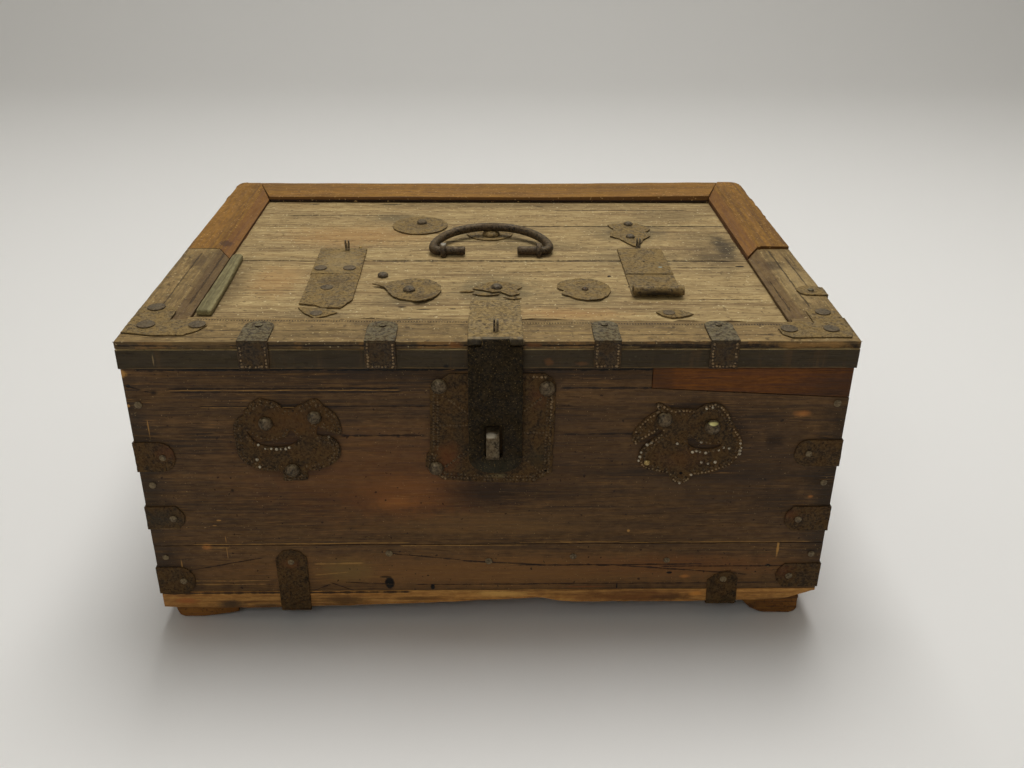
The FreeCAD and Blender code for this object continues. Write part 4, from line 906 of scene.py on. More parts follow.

# %% [markdown]
# ## Iron
# The iron on the front is dark red-brown rust rubbed smooth. On the lid the same iron is under
# years of dust. The hasp is thicker, darker and speckled, the bail is rubbed by hands, and the
# staple is worn steel with a painted highlight on its top bend.

# %% Iron finishes
dark = iron("dark_iron", (36, 26, 14), (66, 47, 26), (100, 76, 44))
dark.spots(1.3, 1.0, (
    ((0, 1, -70), (40, 9, 46), (48, 41, 28), 0.55),
    ((-31, 1, -94), (13, 9, 20), (100, 58, 32), 0.6),
    ((34, 1, -44), (10, 9, 14), (92, 56, 32), 0.5), ((34, 1, -92), (12, 9, 15), (44, 42, 30), 0.5),
    ((4, 1, -108), (13, 9, 2.2), (112, 100, 68), 0.6),
    ((-140, 1, -62), (44, 9, 22), (88, 58, 28), 0.45),
    ((138, 1, -94), (26, 9, 12), (92, 60, 34), 0.4),
    ((-232, 1, -88), (14, 9, 9), (92, 56, 34), 0.5),
    ((-246, 1, -144), (30, 9, 12), (52, 46, 36), 0.6),
    ((-240, 1, -153.4), (14, 9, 1.2), (128, 100, 66), 0.6),
    ((226, 1, -196), (12, 9, 10), (98, 58, 34), 0.5),
    ((224, 1, -144), (14, 9, 8), (96, 56, 32), 0.5),
    ((-152, 1, -186), (12, 9, 6), (112, 70, 40), 0.5)))
for x, z in ((40, -104), (-6, -100), (139.1, -106.3)):
    dark.over(dark.patch((x, 1, z), (1.4, 9, 1.4), 0.3, 0.3), (10, 8, 6))
dark_iron = dark.finish(0.6, 0.0010, 0.1, 0.12)
rubbed_iron = iron("rubbed_iron", (60, 44, 28), (128, 102, 70), (190, 164, 124)).finish(
    0.4, 0.0006, 0.3)
dot_iron = iron("dot_iron", (38, 28, 16), (78, 60, 38), (134, 110, 78)).finish(0.4, 0.0006, 0.2)
stud_iron = iron("stud_iron", (66, 52, 36), (98, 82, 58), (140, 124, 92)).finish(0.4, 0.0008, 0.2)
dusty = iron("dusty_iron", (56, 42, 24), (104, 82, 46), (146, 122, 74), (146, 122, 74), 0.55)
dusty.spots(0.8, 0.7, (
    # Painted shadow inside the right strap's rolled end.
    ((130, 90.5, -3), (26, 5, 6), (20, 16, 10), 0.9),
    ((128, 170, -4), (1.9, 1.6, 3), (14, 10, 7), 1.0),
    ((140, 156, -4), (2.4, 1.3, 2), (150, 180, 180), 0.8),
    ((-124, 124, -5), (14, 10, 5), (70, 54, 32), 0.5),
    ((-64, 268, -5), (14, 14, 5), (90, 70, 42), 0.4),
    ((-52, 92, -5), (14, 8, 6), (66, 50, 30), 0.5),
    ((-124, 170, -4), (22, 36, 5), (158, 136, 92), 0.4)))
dusty_iron = dusty.finish(0.9, 0.0012, 0.0)
edge_iron = iron(
    "edge_iron", (32, 23, 11), (54, 39, 21), (88, 68, 40), (112, 101, 72), 0.95,
).finish(0.7, 0.0010, 0.05)
# A pale line along the top of the hasp's knuckle: partly real wear, partly a painted highlight
# where the light catches the roll.
worn_and_highlight_line = ((3.5, -1.8, 3.5), (24, 2.6, 0.8), (116, 104, 82), 0.6)
leaf = iron("leaf_iron", (66, 52, 32), (104, 84, 52), (138, 116, 74), (156, 132, 84), 0.75)
leaf.over(leaf.ahead(1.0), (34, 28, 16), 0.85)
leaf.over(leaf.patch(worn_and_highlight_line[0], worn_and_highlight_line[1], 1.2, 0.5), worn_and_highlight_line[2], worn_and_highlight_line[3])
leaf_iron = leaf.finish(0.9, 0.0012, 0.05)
hasp_finish = iron("hasp_iron", (16, 12, 6), (27, 21, 11), (66, 52, 28))
hasp_finish.over(hasp_finish.patch((3.5, -3, -98), (24, 9, 10), 0.8, 0.7), (48, 46, 34), 0.6)
hasp_finish.specks(850, 0.66, (126, 104, 62), 0.45)
hasp_finish.over(
    hasp_finish.patch(worn_and_highlight_line[0], worn_and_highlight_line[1], 1.2, 0.5), worn_and_highlight_line[2], worn_and_highlight_line[3])
hasp_iron = hasp_finish.finish(0.6, 0.0010, 0.2, 0.12)
bar_iron = iron(
    "bail_iron", (34, 27, 18), (64, 50, 34), (106, 88, 62), (120, 102, 70), 0.4, (0.45, 0.65))
# Painted highlight on the top of the left bail eye.
bar_iron.over(bar_iron.patch((-39.5, 189, 4), (3.5, 4, 2), 0.5, 0.5), (164, 160, 146), 0.6)
bail_iron = bar_iron.finish(0.5, 0.0010, 0.3)
steel = iron("worn_steel", (40, 32, 20), (78, 64, 44), (124, 110, 86), None, 0, (0.3, 0.5))
# Painted highlight on the staple's top bend.
steel.over(steel.patch((0.5, -12, -67), (5, 5, 2.4), 0.8, 0.6), (170, 160, 140), 0.7)
worn_steel = steel.finish(0.3, 0.0005, 0.6)
pin_steel = iron("pin_steel", (110, 96, 74), (168, 154, 128), (216, 206, 182), None, 0,
                 (0.4, 0.6)).finish(0.3, 0.0005, 0.3)
pair_iron = iron(
    "pair_iron", (30, 22, 14), (86, 70, 50), (176, 162, 134), None, 0, (0.4, 0.6)).finish(
    0.4, 0.0006, 0.3)
nail_iron = iron("nail_iron", (50, 40, 28), (86, 71, 50), (126, 110, 84), (104, 92, 68), 0.5,
                 (0.5, 0.7)).finish(0.6, 0.0010, 0.15)
domed = iron(
    "bronze_nail", (38, 30, 20), (74, 59, 42), (128, 110, 82), (156, 138, 104), 0.75, (0.35, 0.55))
# Painted highlight on the upper part of one dome on the right escutcheon.
domed.over(domed.patch((158.4, -1, -63.4), (4.2, 6, 1.5), 0.5, 0.4), (214, 204, 134), 0.85)
bronze = domed.finish(0.4, 0.0006, 0.4)
brass = iron("brass_nail", (110, 86, 44), (158, 130, 74), (206, 184, 124), None, 0,
             (0.3, 0.5)).finish(0.3, 0.0005, 0.6)
print("iron finishes ready")

# %% [markdown]
# ## The box
# Each board is a cube drawn out to the board's size, or an outline extruded. Loops are cut across
# it, its arrises are bevelled, and its edges are rubbed down unevenly, which makes it look old.

# %% Boards of the box


def handled(piece, axis, step, arris, worn, seed):
    """A new board made old: loops cut across it, arrises softened, edges rubbed down."""
    cross_cut(piece, axis, step)
    soften(piece, arris, 3)
    wear(piece, worn, 16, seed)
    return piece


def plank(low, high, axis, step=9, arris=0.8, worn=0.5, seed=0.0):
    """A board between two corners in millimetres, worn along its edges."""
    clear()
    middle = (at(*low) + at(*high)) / 2
    bpy.ops.mesh.primitive_cube_add(size=1, location=middle, scale=at(*high) - at(*low))
    piece = bpy.context.object
    bake()
    return handled(piece, axis, step, arris, worn, seed)


def shaped(outline, place, rise, axis, step=9, arris=0.8, worn=0.5, seed=0.0):
    """A board of any outline, worn along its edges."""
    return handled(cut_out(outline, place, rise), axis, step, arris, worn, seed)


patch_end, patch_foot = 113, -37.4
inner_face = on_front(box_front + board)
upper_outline = [
    (-box_half, plank_seam), (box_half, plank_seam), (box_half, -44.9), (patch_end, patch_foot),
    (patch_end, wall_top), (-box_half, wall_top)]
upper = shaped(upper_outline, inner_face, board, 0, arris=0.4, worn=0.4, seed=1)
settle(upper, "aged_front_board_upper", "chest", "front_wood", front_wood, "front_board_upper")
lower = plank(
    (-box_half, box_front, wall_foot), (box_half, box_front + board, plank_seam), 0, arris=0.4,
    worn=0.4, seed=2)
settle(lower, "aged_front_board_lower", "chest", "front_wood", low_front_wood, "front_board_lower")
patch_outline = [
    (patch_end, patch_foot), (box_half, -44.9), (box_half, wall_top), (patch_end, wall_top)]
let_in = shaped(patch_outline, inner_face, board, 0, 6, seed=3)
settle(let_in, "aged_front_patch", "chest", "patch_wood", patch_wood, "front_patch_strip")
for side, x_low in (("left", -box_half), ("right", box_half - board)):
    low = (x_low, box_front + board, wall_foot)
    wall = plank(low, (x_low + board, box_back - board, wall_top), 1, seed=4)
    aged(wall, "side_board_" + side, "chest", "wall_wood", wall_wood)
for part, z_low, z_high in (("lower", wall_foot, -126.9), ("upper", -126.9, wall_top)):
    wall = plank((-box_half, box_back - board, z_low), (box_half, box_back, z_high), 0, seed=5)
    aged(wall, "back_board_" + part, "chest", "wall_wood", back_wood)
print("walls made")

# %% [markdown]
# The bottom board is the chest's brightest wood, bare and rubbed orange. Its lower front edge has
# worn away in a long hollow, so its lower vertices are lifted along a line measured on the chest.

# %% Bottom board and feet
edge_line = [
    (-260, -227.6), (-249, -228.8), (-207, -229.6), (-188, -229.8), (-164, -229.3), (-139, -228.7),
    (-114, -228.4), (-87, -227.2), (-49, -226.2), (-8, -223.8), (9, -223.2), (28, -222.0),
    (39, -221.7), (53, -225.0), (75, -226.3), (108, -225.7), (133, -226.1), (194, -225.4),
    (230, -224.1), (243, -219.5), (252, -216.2), (260, -215.4)]


hollow_depth = 60


def low_edge(x):
    """The level of the board's worn front edge at a place along the front."""
    for (left, low), (right, high) in zip(edge_line, edge_line[1:]):
        if left <= x <= right:
            return low + (high - low) * (x - left) / (right - left)
    return base_foot


bottom = plank(
    (-box_half, box_front, base_foot), (box_half, box_back, wall_foot), 0, 5, 0.3, 0.3, 6)
only(bottom)
bpy.ops.object.mode_set(mode="EDIT")
for depth in (4.0, 7.5, 9.0):
    bpy.ops.mesh.select_all(action="SELECT")
    bpy.ops.mesh.bisect(plane_co=at(0, depth, 0), plane_no=(0, 1, 0))
leave()
for vertex in bottom.data.vertices:
    x = vertex.co.x / mm
    depth = (vertex.co.y - lid_front) / mm
    if vertex.co.z < level(-219) and depth < hollow_depth:
        edge = low_edge(x) + 0.5 * noise.noise(Vector((x * 0.15, depth * 0.2, 0)))
        edge += 0.8 if depth < 3 else 0.0
        if depth < 8:
            vertex.co.z = level(edge)
        elif edge > base_foot:
            vertex.co.z += (edge - base_foot) * (1 - depth / hollow_depth) * mm
soften(bottom, 0.6, 2, 50)
settle(bottom, "aged_bottom_board", "chest", "base_wood", base_wood, "bottom_board")

left_foot = [
    (-248, -224.3), (-246.8, -234), (-245, -239.6), (-241, -241.3), (-226, -241.1), (-212, -239.4),
    (-198, -236.8), (-197, -224.3)]
right_foot = [
    (196.5, -224.3), (198.5, -228.5), (205.5, -236), (213.7, -240.4), (217.5, -241.3),
    (237.4, -241.2), (242.2, -239.8), (244, -236.5), (243.6, -228), (244.5, -224.3)]
for end, y in (("front", 52), ("back", 380)):
    for side, outline in (("left", left_foot), ("right", right_foot)):
        foot = shaped(outline[::-1], on_front(y), 46, 1, 8, 1.4, 0.8, 7)
        name = "foot_" + end + "_" + side
        settle(foot, "aged_" + name, "chest", "base_wood", foot_wood, name)
print("bottom board and feet made")

# %% [markdown]
# ## The lid
# Three boards lie edge to edge under a frame. The boards' seams show as dark lines, so each board
# gets its own softened edges, and the seam is the groove between two of them.

# %% Lid boards
back_corner = 9.75
rear_outline = [(-lid_half, 269), (lid_half, 269)]
rear_outline += arc((lid_half - back_corner, lid_depth - back_corner), back_corner, 0, 90, 6)
rear_outline += arc((back_corner - lid_half, lid_depth - back_corner), back_corner, 90, 180, 6)
lid_boards = (
    ("front", [(-255, 0), (255, 0), (255, 176), (-255, 176)]),
    ("middle", [(-255, 176), (255, 176), (255, 269), (-255, 269)]),
    ("rear", rear_outline),
)
for number, (part, outline) in enumerate(lid_boards):
    piece = shaped(
        outline, on_top(panel_foot), panel_level - panel_foot, 0, 8, 0.8, 0.5, 10 + number)
    aged(piece, "lid_board_" + part, "lid", "panel_wood", panel_wood)
print("lid boards made")

# %% [markdown]
# The frame's rails and stiles are thin strips. The stiles have a sloped inner band with a small
# bead at its outer edge: loops are cut along the stile at the bead and the slope, and the
# vertices between them are lowered.

# %% Frame strips
front_rail_outline = [
    (-255, 0), (255, 0), (255, 40), (216, 40), (215.6, 33.4), (0, 40), (-215.6, 43.6), (-216, 40),
    (-255, 40)]
piece = shaped(front_rail_outline, on_panel, 6, 0, 5, 0.9, 0.9, 14)
for vertex in piece.data.vertices:
    depth = (vertex.co.y - lid_front) / mm
    if depth < 3:
        x = vertex.co.x / mm
        torn = 1.6 if x > 120 else 0.7
        notch = 3.6 if -11 < x < 18 else 0.0
        chip = max(0.0, noise.noise(Vector((x * 0.055, 1.5, vertex.co.z * 300))))
        vertex.co.y += (torn * chip + notch) * mm
settle(piece, "aged_lid_front_rail", "lid", "old_frame_wood", rail_wood, "lid_front_rail")


def banded(piece, side, thickness):
    """Cuts the slope and the bead line into a stile."""
    only(piece)
    bpy.ops.object.mode_set(mode="EDIT")
    for place in (227.3, 228.3, 229.4, 230.4):
        bpy.ops.mesh.select_all(action="SELECT")
        bpy.ops.mesh.bisect(plane_co=(side * place * mm, 0, 0), plane_no=(1, 0, 0))
    leave()
    top = level(panel_level + thickness - 0.5)
    for vertex in piece.data.vertices:
        run = side * vertex.co.x / mm
        if vertex.co.z > top:
            if run < 227.2:
                vertex.co.z -= 3 * (227.3 - run) / 11.3 * mm
            elif run < 227.6 or 229.0 < run < 229.8:
                vertex.co.z -= 0.7 * mm


def stile_piece(outline, side, thickness, seed):
    """A stile with its slope, its bead and its worn edges."""
    piece = cut_out(outline, on_panel, thickness)
    banded(piece, side, thickness)
    cross_cut(piece, 1, 6)
    soften(piece, 0.7, 2)
    wear(piece, 0.5, 14, seed)
    return piece


def mirrored(outline, side):
    """The outline as it is for the left, or turned over for the right."""
    return outline if side < 0 else [(-x, y) for x, y in reversed(outline)]


front_stile_outline = [(-255, 40), (-216, 40), (-216, 172.4), (-227.3, 190), (-255, 190)]
rear_stile_outline = [(-255, 190), (-227.3, 190), (-216, 172.4), (-216, 342), (-233.9, 391)]
rear_stile_outline += arc(
    (back_corner - lid_half, lid_depth - back_corner), back_corner, 90, 180, 6)
for side, word in ((-1, "left"), (1, "right")):
    piece = stile_piece(mirrored(front_stile_outline, side), side, 6, 20)
    aged(piece, "lid_front_stile_" + word, "lid", "old_frame_wood", stile_wood)
    piece = stile_piece(mirrored(rear_stile_outline, side), side, 8 if side > 0 else 6, 24)
    aged(piece, "lid_rear_stile_" + word, "lid", "new_frame_wood", new_stile_wood)

back_rail_piece = shaped(
    [(-216, 342), (216, 342), (233.9, 391), (-233.9, 391)], on_panel, 6, 0, 7, 0.8, 0.6, 28)
for vertex in back_rail_piece.data.vertices:
    if vertex.co.z > level(-3):
        vertex.co.z += 1.8 * min(1.0, max(0.0, (vertex.co.x / mm - 60) / 150)) * mm
settle(
    back_rail_piece, "aged_lid_back_rail", "lid", "new_frame_wood", new_rail_wood, "lid_back_rail")

bead_outline = [
    (-214.4, 58), (-202.6, 57), (-203.4, 110), (-205.4, 176), (-207.5, 179.5), (-212.5, 179.5),
    (-214.6, 176)]
strip = shaped(bead_outline, on_panel, 5.3, 1, 7, 1.6, 0.5, 30)
settle(strip, "aged_bead_strip", "lid", "old_frame_wood", bead_wood, "lid_bead_strip")
print("frame made")

# %% [markdown]
# ## Ironwork on the front
# Plates were cut from sheet with shears, so their outlines wander and their edges have worn soft.
# The border of small punched dots is one dome, copied along the outline.

# %% Straps, plates and their dots
sheet_arris = 0.25
dot_rise = 1.15


def sheet(outline, place, rise, step, amount, seed):
    """A sheet-iron plate with a wandering, softened outline."""
    piece = cut_out(ragged(outline, step, amount, seed), place, rise)
    soften(piece, sheet_arris, 1, 60)
    return piece


def scattered(name, model, places):
    """Copies of a small model, one at each place, joined into one piece. The model is removed."""
    copies = []
    for matrix in places:
        copy = model.copy()
        copy.data = model.data.copy()
        copy.data.transform(matrix)
        bpy.context.scene.collection.objects.link(copy)
        copies.append(copy)
    bpy.data.objects.remove(model)
    piece = welded(copies)
    piece.name = name
    return piece


def dome(radius, height, segments, rings):
    """A dome standing on the origin, closed below."""
    clear()
    bpy.ops.mesh.primitive_uv_sphere_add(segments=segments, ring_count=rings, radius=radius * mm)
    edit()
    bpy.ops.mesh.bisect(plane_co=(0, 0, 0), plane_no=(0, 0, 1), clear_inner=True, use_fill=True)
    bpy.ops.mesh.select_all(action="SELECT")
    bpy.ops.transform.resize(value=(1, 1, height / radius))
    leave()
    bake()
    return bpy.context.object


def seat_matrix(point, outward, turn, size):
    """Where a model goes: standing on a point, looking outward, turned about itself."""
    spin = Matrix.Rotation(turn, 4, "Z")
    looking = outward.to_track_quat("Z", "Y").to_matrix().to_4x4()
    return Matrix.Translation(point) @ looking @ spin @ Matrix.Scale(size, 4)


def row(start, end, gap):
    """Points along a straight line at about this gap."""
    start, end = Vector(start), Vector(end)
    count = max(1, round((end - start).length / gap))
    return [start + (end - start) * (index / count) for index in range(count + 1)]


def inner_line(outline, inset, gap):
    """Points just inside a closed outline that runs anticlockwise, at about this gap."""
    points = []
    travelled = 0.0
    for index, corner in enumerate(outline):
        start = Vector(corner)
        run = Vector(outline[(index + 1) % len(outline)]) - start
        if run.length == 0:
            continue
        inward = Vector((-run.y, run.x)).normalized() * inset
        while travelled <= run.length:
            points.append(start + run * (travelled / run.length) + inward)
            travelled += gap
        travelled -= run.length
    return points


def dots(name, points, place, body, finish, size, seed):
    """Punched dots on a plate of the front, a few of them lost."""
    places = []
    for point in points:
        jitter = noise.noise(Vector((point.x * 0.7, point.y * 0.7, seed)))
        fine = noise.noise(Vector((point.x * 2.3, point.y * 2.3, seed + 5)))
        if fine < -0.42:
            continue
        seat = place(point.x + 0.7 * jitter, point.y + 0.7 * fine, dot_rise)
        places.append(seat_matrix(seat, Vector((0, -1, 0)), 0, 1 + 0.5 * jitter + 0.3 * fine))
    piece = scattered(name, dome(size, size * 0.8, 8, 6), places)
    return settle(piece, name, body, "dark_iron", finish)


front_face = on_front(2.0)

lock_outline = [
    (-28.3, -24.9), (-40.8, -33.4), (-42.3, -37.9), (-43.5, -85.9), (-46, -90), (-47.3, -100),
    (-35.4, -110.9), (-1.6, -113.9), (32.6, -113.9), (44.7, -105.4), (46, -33.8), (42.6, -27.9),
    (37.6, -24.9)]
dots_start = -34
plate = sheet(lock_outline, front_face, 1.2, 2.0, 0.35, 40)
settle(plate, "aged_lock_plate", "chest", "dark_iron", dark_iron, "lock_plate")
lock_rim, lock_dots = (
    [point for point in inner_line(lock_outline, inset, 2.4) if point.y < dots_start]
    for inset in (2.8, 5.6)
)
lock_dots += row((-40, -65.6), (-17, -65.6), 2.2) + row((24, -71.6), (42, -71.6), 2.2)
lock_dots += row((-33, -42), (-16, -56), 2.4) + row((38, -42), (24, -54), 2.4)
lock_dots += row((-36, -103), (-14, -84), 2.4) + row((38, -106), (22, -90), 2.4)
dots("lock_plate_rim_dots", lock_rim, front_face, "chest", dot_iron, 0.85, 40)
dots("lock_plate_dots", lock_dots, front_face, "chest", dot_iron, 0.85, 41)
bright = row((43, -44), (42.6, -62), 2.6) + row((30, -27.5), (38, -27.5), 2.6)
bright += row((-43, -101), (-33, -110), 2.6)
dots("lock_plate_bright_dots", bright, front_face, "chest", rubbed_iron, 0.9, 42)
print("lock plate dots", len(lock_dots))

# %% Escutcheons
left_outline = [
    (-170.6, -51.3), (-169, -48.4), (-165.6, -46), (-161.1, -43.9), (-156.8, -44.9), (-153.2, -46),
    (-149.6, -47.1), (-147.4, -49.6), (-145.7, -51.8), (-142, -52.1), (-138.2, -51.9),
    (-135, -49.9), (-130.4, -47.5), (-126.5, -45.4), (-122.7, -44.3), (-119.7, -45.7),
    (-118, -48.6), (-115.7, -51.1), (-112.2, -53.6), (-109.3, -56.8), (-107.1, -61.1),
    (-106.1, -65.4), (-105.7, -70.5), (-106.7, -73.6), (-114.1, -71.2), (-120.2, -68.3),
    (-121.9, -65.8), (-123.8, -72.7), (-121.3, -73.8), (-117.5, -74.5), (-113.1, -75.3),
    (-110.2, -77.8), (-107.9, -82.3), (-107.3, -86.7), (-108.2, -91.2), (-111.4, -95.7),
    (-115.5, -98.7), (-120.8, -100.9), (-127.4, -103.2), (-132.6, -103.5), (-132.9, -110.8),
    (-141.7, -111.3), (-150.1, -111.8), (-150.8, -108.4), (-150.6, -103.8), (-155.8, -103.4),
    (-160.9, -103.4), (-167.2, -102.2), (-172.7, -99.6), (-177.4, -96.2), (-180.7, -90.9),
    (-181.6, -84.9), (-181.7, -77.6), (-182.6, -71.7), (-181.9, -65.9), (-180.1, -61.6),
    (-177, -59.1), (-173.7, -57.3), (-173.3, -54.5)]
left_slot = [
    (-172.7, -70.7), (-170.1, -75.4), (-167.3, -79.1), (-163.1, -81.7), (-157.5, -82.8),
    (-151.9, -83.2), (-146.1, -82.5), (-140.8, -80.7), (-137.8, -78.5), (-136.1, -76.3),
    (-138.6, -73), (-140.8, -69.8), (-142.5, -69.8), (-143.7, -72.2), (-145.4, -74.8),
    (-148.8, -77.1), (-153.3, -78.4), (-158.4, -78.4), (-163.3, -76.9), (-167.5, -74.7),
    (-170.4, -72.3)]
right_outline = [
    (117, -55), (113.4, -57.9), (109.2, -61.8), (105.1, -66.9), (102.2, -71.7), (101.8, -76.1),
    (102.7, -81.6), (105.9, -80.5), (110.3, -77.8), (114.6, -75), (118.2, -72.5), (120.6, -70.1),
    (123.2, -71.6), (119.7, -74.7), (115.4, -78.4), (111.8, -82.1), (109.1, -85), (107.4, -88.8),
    (107.1, -93.3), (108, -97.8), (109.9, -100.9), (114, -103.5), (118, -104.3), (122.6, -105.9),
    (127.3, -106.7), (130.3, -107.5), (131.2, -110.5), (132.7, -113.2), (135.8, -115),
    (139.2, -115.6), (143.1, -114.8), (145.6, -112.9), (146.3, -109.8), (147.1, -108.5),
    (152.3, -107.9), (157.5, -107.2), (162.6, -105.7), (167.7, -103.8), (172.7, -101.5),
    (176.9, -98.1), (179.7, -93.6), (181.1, -89), (182.2, -84.6), (181.3, -78.6), (179.1, -74.1),
    (176.4, -69.7), (173.7, -65.3), (171.5, -60.2), (168.8, -55.9), (165.5, -51.5), (161.4, -49),
    (156.9, -48.3), (152.6, -49.4), (148.4, -51.9), (146, -53.6), (139.6, -52.9), (135.2, -52.9),
    (130.8, -53.2), (126.9, -52.2), (123.6, -50.7), (120.9, -48.6), (118.4, -48.2), (116.6, -49.6),
    (117.1, -52.1)]
right_slot = [
    (141.6, -75.9), (142.4, -81.4), (144.9, -84), (149.6, -85.6), (154.9, -86.3), (160.6, -85.6),
    (165, -84.1), (166.1, -81.9), (161, -82.4), (157.8, -83), (153.1, -81.8), (149.1, -80),
    (145.7, -77.7)]
bright_places = {
    "left": [
        (-165.6, -81.3), (-162.6, -82.4), (-160.6, -84.4), (-156.8, -84.4), (-153.3, -84.9),
        (-149.8, -84.9), (-146.6, -84.5), (-143.7, -83.8), (-168.1, -93.6), (-166.5, -99.8),
        (-118, -73.8), (-115, -74.6)],
    "right": [
        (115.6, -80.4), (112.5, -82.4), (110.2, -84.9), (108.7, -88.4), (108.1, -92.5),
        (107.4, -95.5), (145.6, -88.2), (148.8, -87.4), (151.8, -88.2), (155.5, -89.2),
        (159.0, -89.0), (165.3, -87.1), (168.3, -84.5), (172.4, -85.3), (153.3, -97.2),
        (158.3, -98.2), (163.1, -97.1), (180.3, -81.4), (181.6, -84.9), (180.3, -87.5),
        (180.4, -90.2), (152.9, -52.7), (157.1, -51.7), (151.7, -80.3), (134.4, -81.4),
        (138.8, -114.6), (146.7, -107.5)],
}


def anticlockwise(outline):
    """The outline turned to run anticlockwise."""
    area = sum(a[0] * b[1] - b[0] * a[1] for a, b in zip(outline, outline[1:] + outline[:1]))
    return outline if area > 0 else outline[::-1]


def escutcheon(outline, slot, seed):
    """A flat plate in a curling outline, pierced by a crescent."""
    plate = cut_out(ragged(outline, 2.0, 0.15, seed), front_face, 1.2)
    cutter = cut_out(slot, on_front(6.0), 8)
    pierce(plate, cutter)
    soften(plate, sheet_arris, 1, 60)
    return plate


for word, outline, slot in (
        ("left", left_outline, left_slot), ("right", right_outline, right_slot)):
    outline, slot = curved(anticlockwise(outline), 2), curved(anticlockwise(slot), 2)
    aged(escutcheon(outline, slot, 44), "escutcheon_" + word, "chest", "dark_iron", dark_iron)
    border = inner_line(outline, 1.7, 2.7)
    inner = inner_line(outline, 4.4, 3.4) + inner_line(slot[::-1], 1.8, 3.2)
    bright = [Vector(place) for place in bright_places[word]]
    for kind, points, finish, size in (
            ("", border, dot_iron if word == "left" else rubbed_iron, 0.75),
            ("inner_", inner, dot_iron, 0.8), ("bright_", bright, pin_steel, 1.0)):
        name = "escutcheon_" + kind + "dots_" + word
        dots(name, points, front_face, "chest", finish, size, 45)
    print(word, "escutcheon dots", len(border) + len(inner) + len(bright))

# %% [markdown]
# ## Straps round the corners
# Each strap is a strip of sheet bent round an edge. Its two legs are cut as two outlines that
# meet at the bend, one on each face, and then welded.

# %% Corner and bottom straps


def tip_points(root, far, low, high, kind):
    """A strip from root to far between two widths, with a round or clipped far end."""
    way = 1 if far > root else -1
    half = (high - low) / 2
    middle = (high + low) / 2
    if kind == "round":
        reach = half * 0.8
        tip = [(
            far - way * reach * (1 - math.sin(math.radians(angle))),
            middle + half * math.cos(math.radians(angle)))
               for angle in range(0, 181, 20)]
    else:
        tip = [
            (far - way * half * 0.55, high), (far - way * half * 0.1, middle + half * 0.45),
            (far, middle), (far - way * half * 0.1, middle - half * 0.45),
            (far - way * half * 0.55, low)]
    points = [(root, high)] + tip + [(root, low)]
    return points if way < 0 else points[::-1]


corner_straps = (
    ("left_top", -1, -91.6, 24.5, 28.7, "round"),
    ("left_middle", -1, -144.0, 19.9, 28.7, "clipped"),
    ("left_bottom", -1, -201.4, 24.4, 28.7, "round"), ("right_top", 1, -90.0, 22.1, 34.2, "round"),
    ("right_middle", 1, -147.1, 21.6, 34.2, "clipped"),
    ("right_bottom", 1, -199.7, 22.1, 34.2, "clipped"))
for number, (word, side, z, width, reach, kind) in enumerate(corner_straps):
    low, high = z - width / 2, z + width / 2
    edge = side * 254.9
    front_leg = sheet(
        tip_points(edge, edge - side * reach, low, high, kind), front_face, 1.2, 2.5, 0.3,
        50 + number)
    side_outline = tip_points(2.0, 40, low, high, "round")
    side_leg = sheet(side_outline, on_side(side * 254), 0.9, 2.5, 0.3, 60 + number)
    strap = welded([front_leg, side_leg])
    aged(strap, "corner_strap_" + word, "chest", "dark_iron", dark_iron)

bottom_straps = (
    ("left", -151.6, -230.0, [
        (-163.1, -229.8), (-163.4, -181.5), (-157.5, -174.6), (-151, -173.4), (-144.8, -175),
        (-139.8, -180.5), (-139.9, -229.2)]),
    ("right", 180.1, -226.2, [
        (168.9, -226.6), (167.9, -204.5), (173.6, -199), (183, -195.6), (187, -197),
        (191.4, -202.2), (192.6, -226)]),
)
for word, x, under, outline in bottom_straps:
    low, high = x - 11.5, x + 11.5
    front_leg = sheet(outline[::-1], front_face, 1.2, 2.5, 0.3, 70)
    lip_leg = sheet(
        [(low, 1), (high, 1), (high, 8.4), (low, 8.4)], on_top(under - 0.9), 1.0, 2.5, 0.3, 71)
    riser = sheet(
        [(low, under), (high, under), (high, -224), (low, -224)], on_front(9.0), 1.0, 2.5, 0.3, 72)
    fold = [(u, v) for v, u in tip_points(8.0, 30, low, high, "round")]
    fold_leg = sheet(fold, lambda u, v, w: at(u, v, base_foot - w), 1.2, 2.5, 0.3, 73)
    strap = welded([front_leg, lip_leg, riser, fold_leg])
    aged(strap, "bottom_strap_" + word, "chest", "dark_iron", dark_iron)
print("straps bent round the box")

# %% [markdown]
# ## Nails
# Three kinds of head: high domes on the plates, low hammered studs, and broad flat heads on the
# lid. Each kind is modelled once, and every copy is turned and sized a little differently.

# %% Nails


def head_model(radius, height, kind):
    """A nail head standing on its seat: a dome, or a flat head with a bevelled rim."""
    if kind == "dome":
        return dome(radius, height, 20, 12)
    clear()
    middle = (0, 0, height * mm / 2)
    bpy.ops.mesh.primitive_cylinder_add(
        vertices=14, radius=radius * mm, depth=height * mm, location=middle)
    model = bpy.context.object
    bake()
    soften(model, height * 0.45, 2)
    wear(model, height * 0.2, 2.2)
    return model


def nails(name, seats, radius, height, kind, body, finish, *replaced):
    """Nail heads at their seats in millimetres, each with the way it looks."""
    places = []
    for index, (x, y, z, outward) in enumerate(seats):
        size = 1 + 0.07 * math.sin(7.3 * index + 1)
        places.append(seat_matrix(at(x, y, z), Vector(outward), 2.1 * index, size))
    piece = scattered(name, head_model(radius, height, kind), places)
    wear(piece, 0.12, 3.0, 5)
    return settle(piece, name, body, "nail_iron", finish, *replaced)


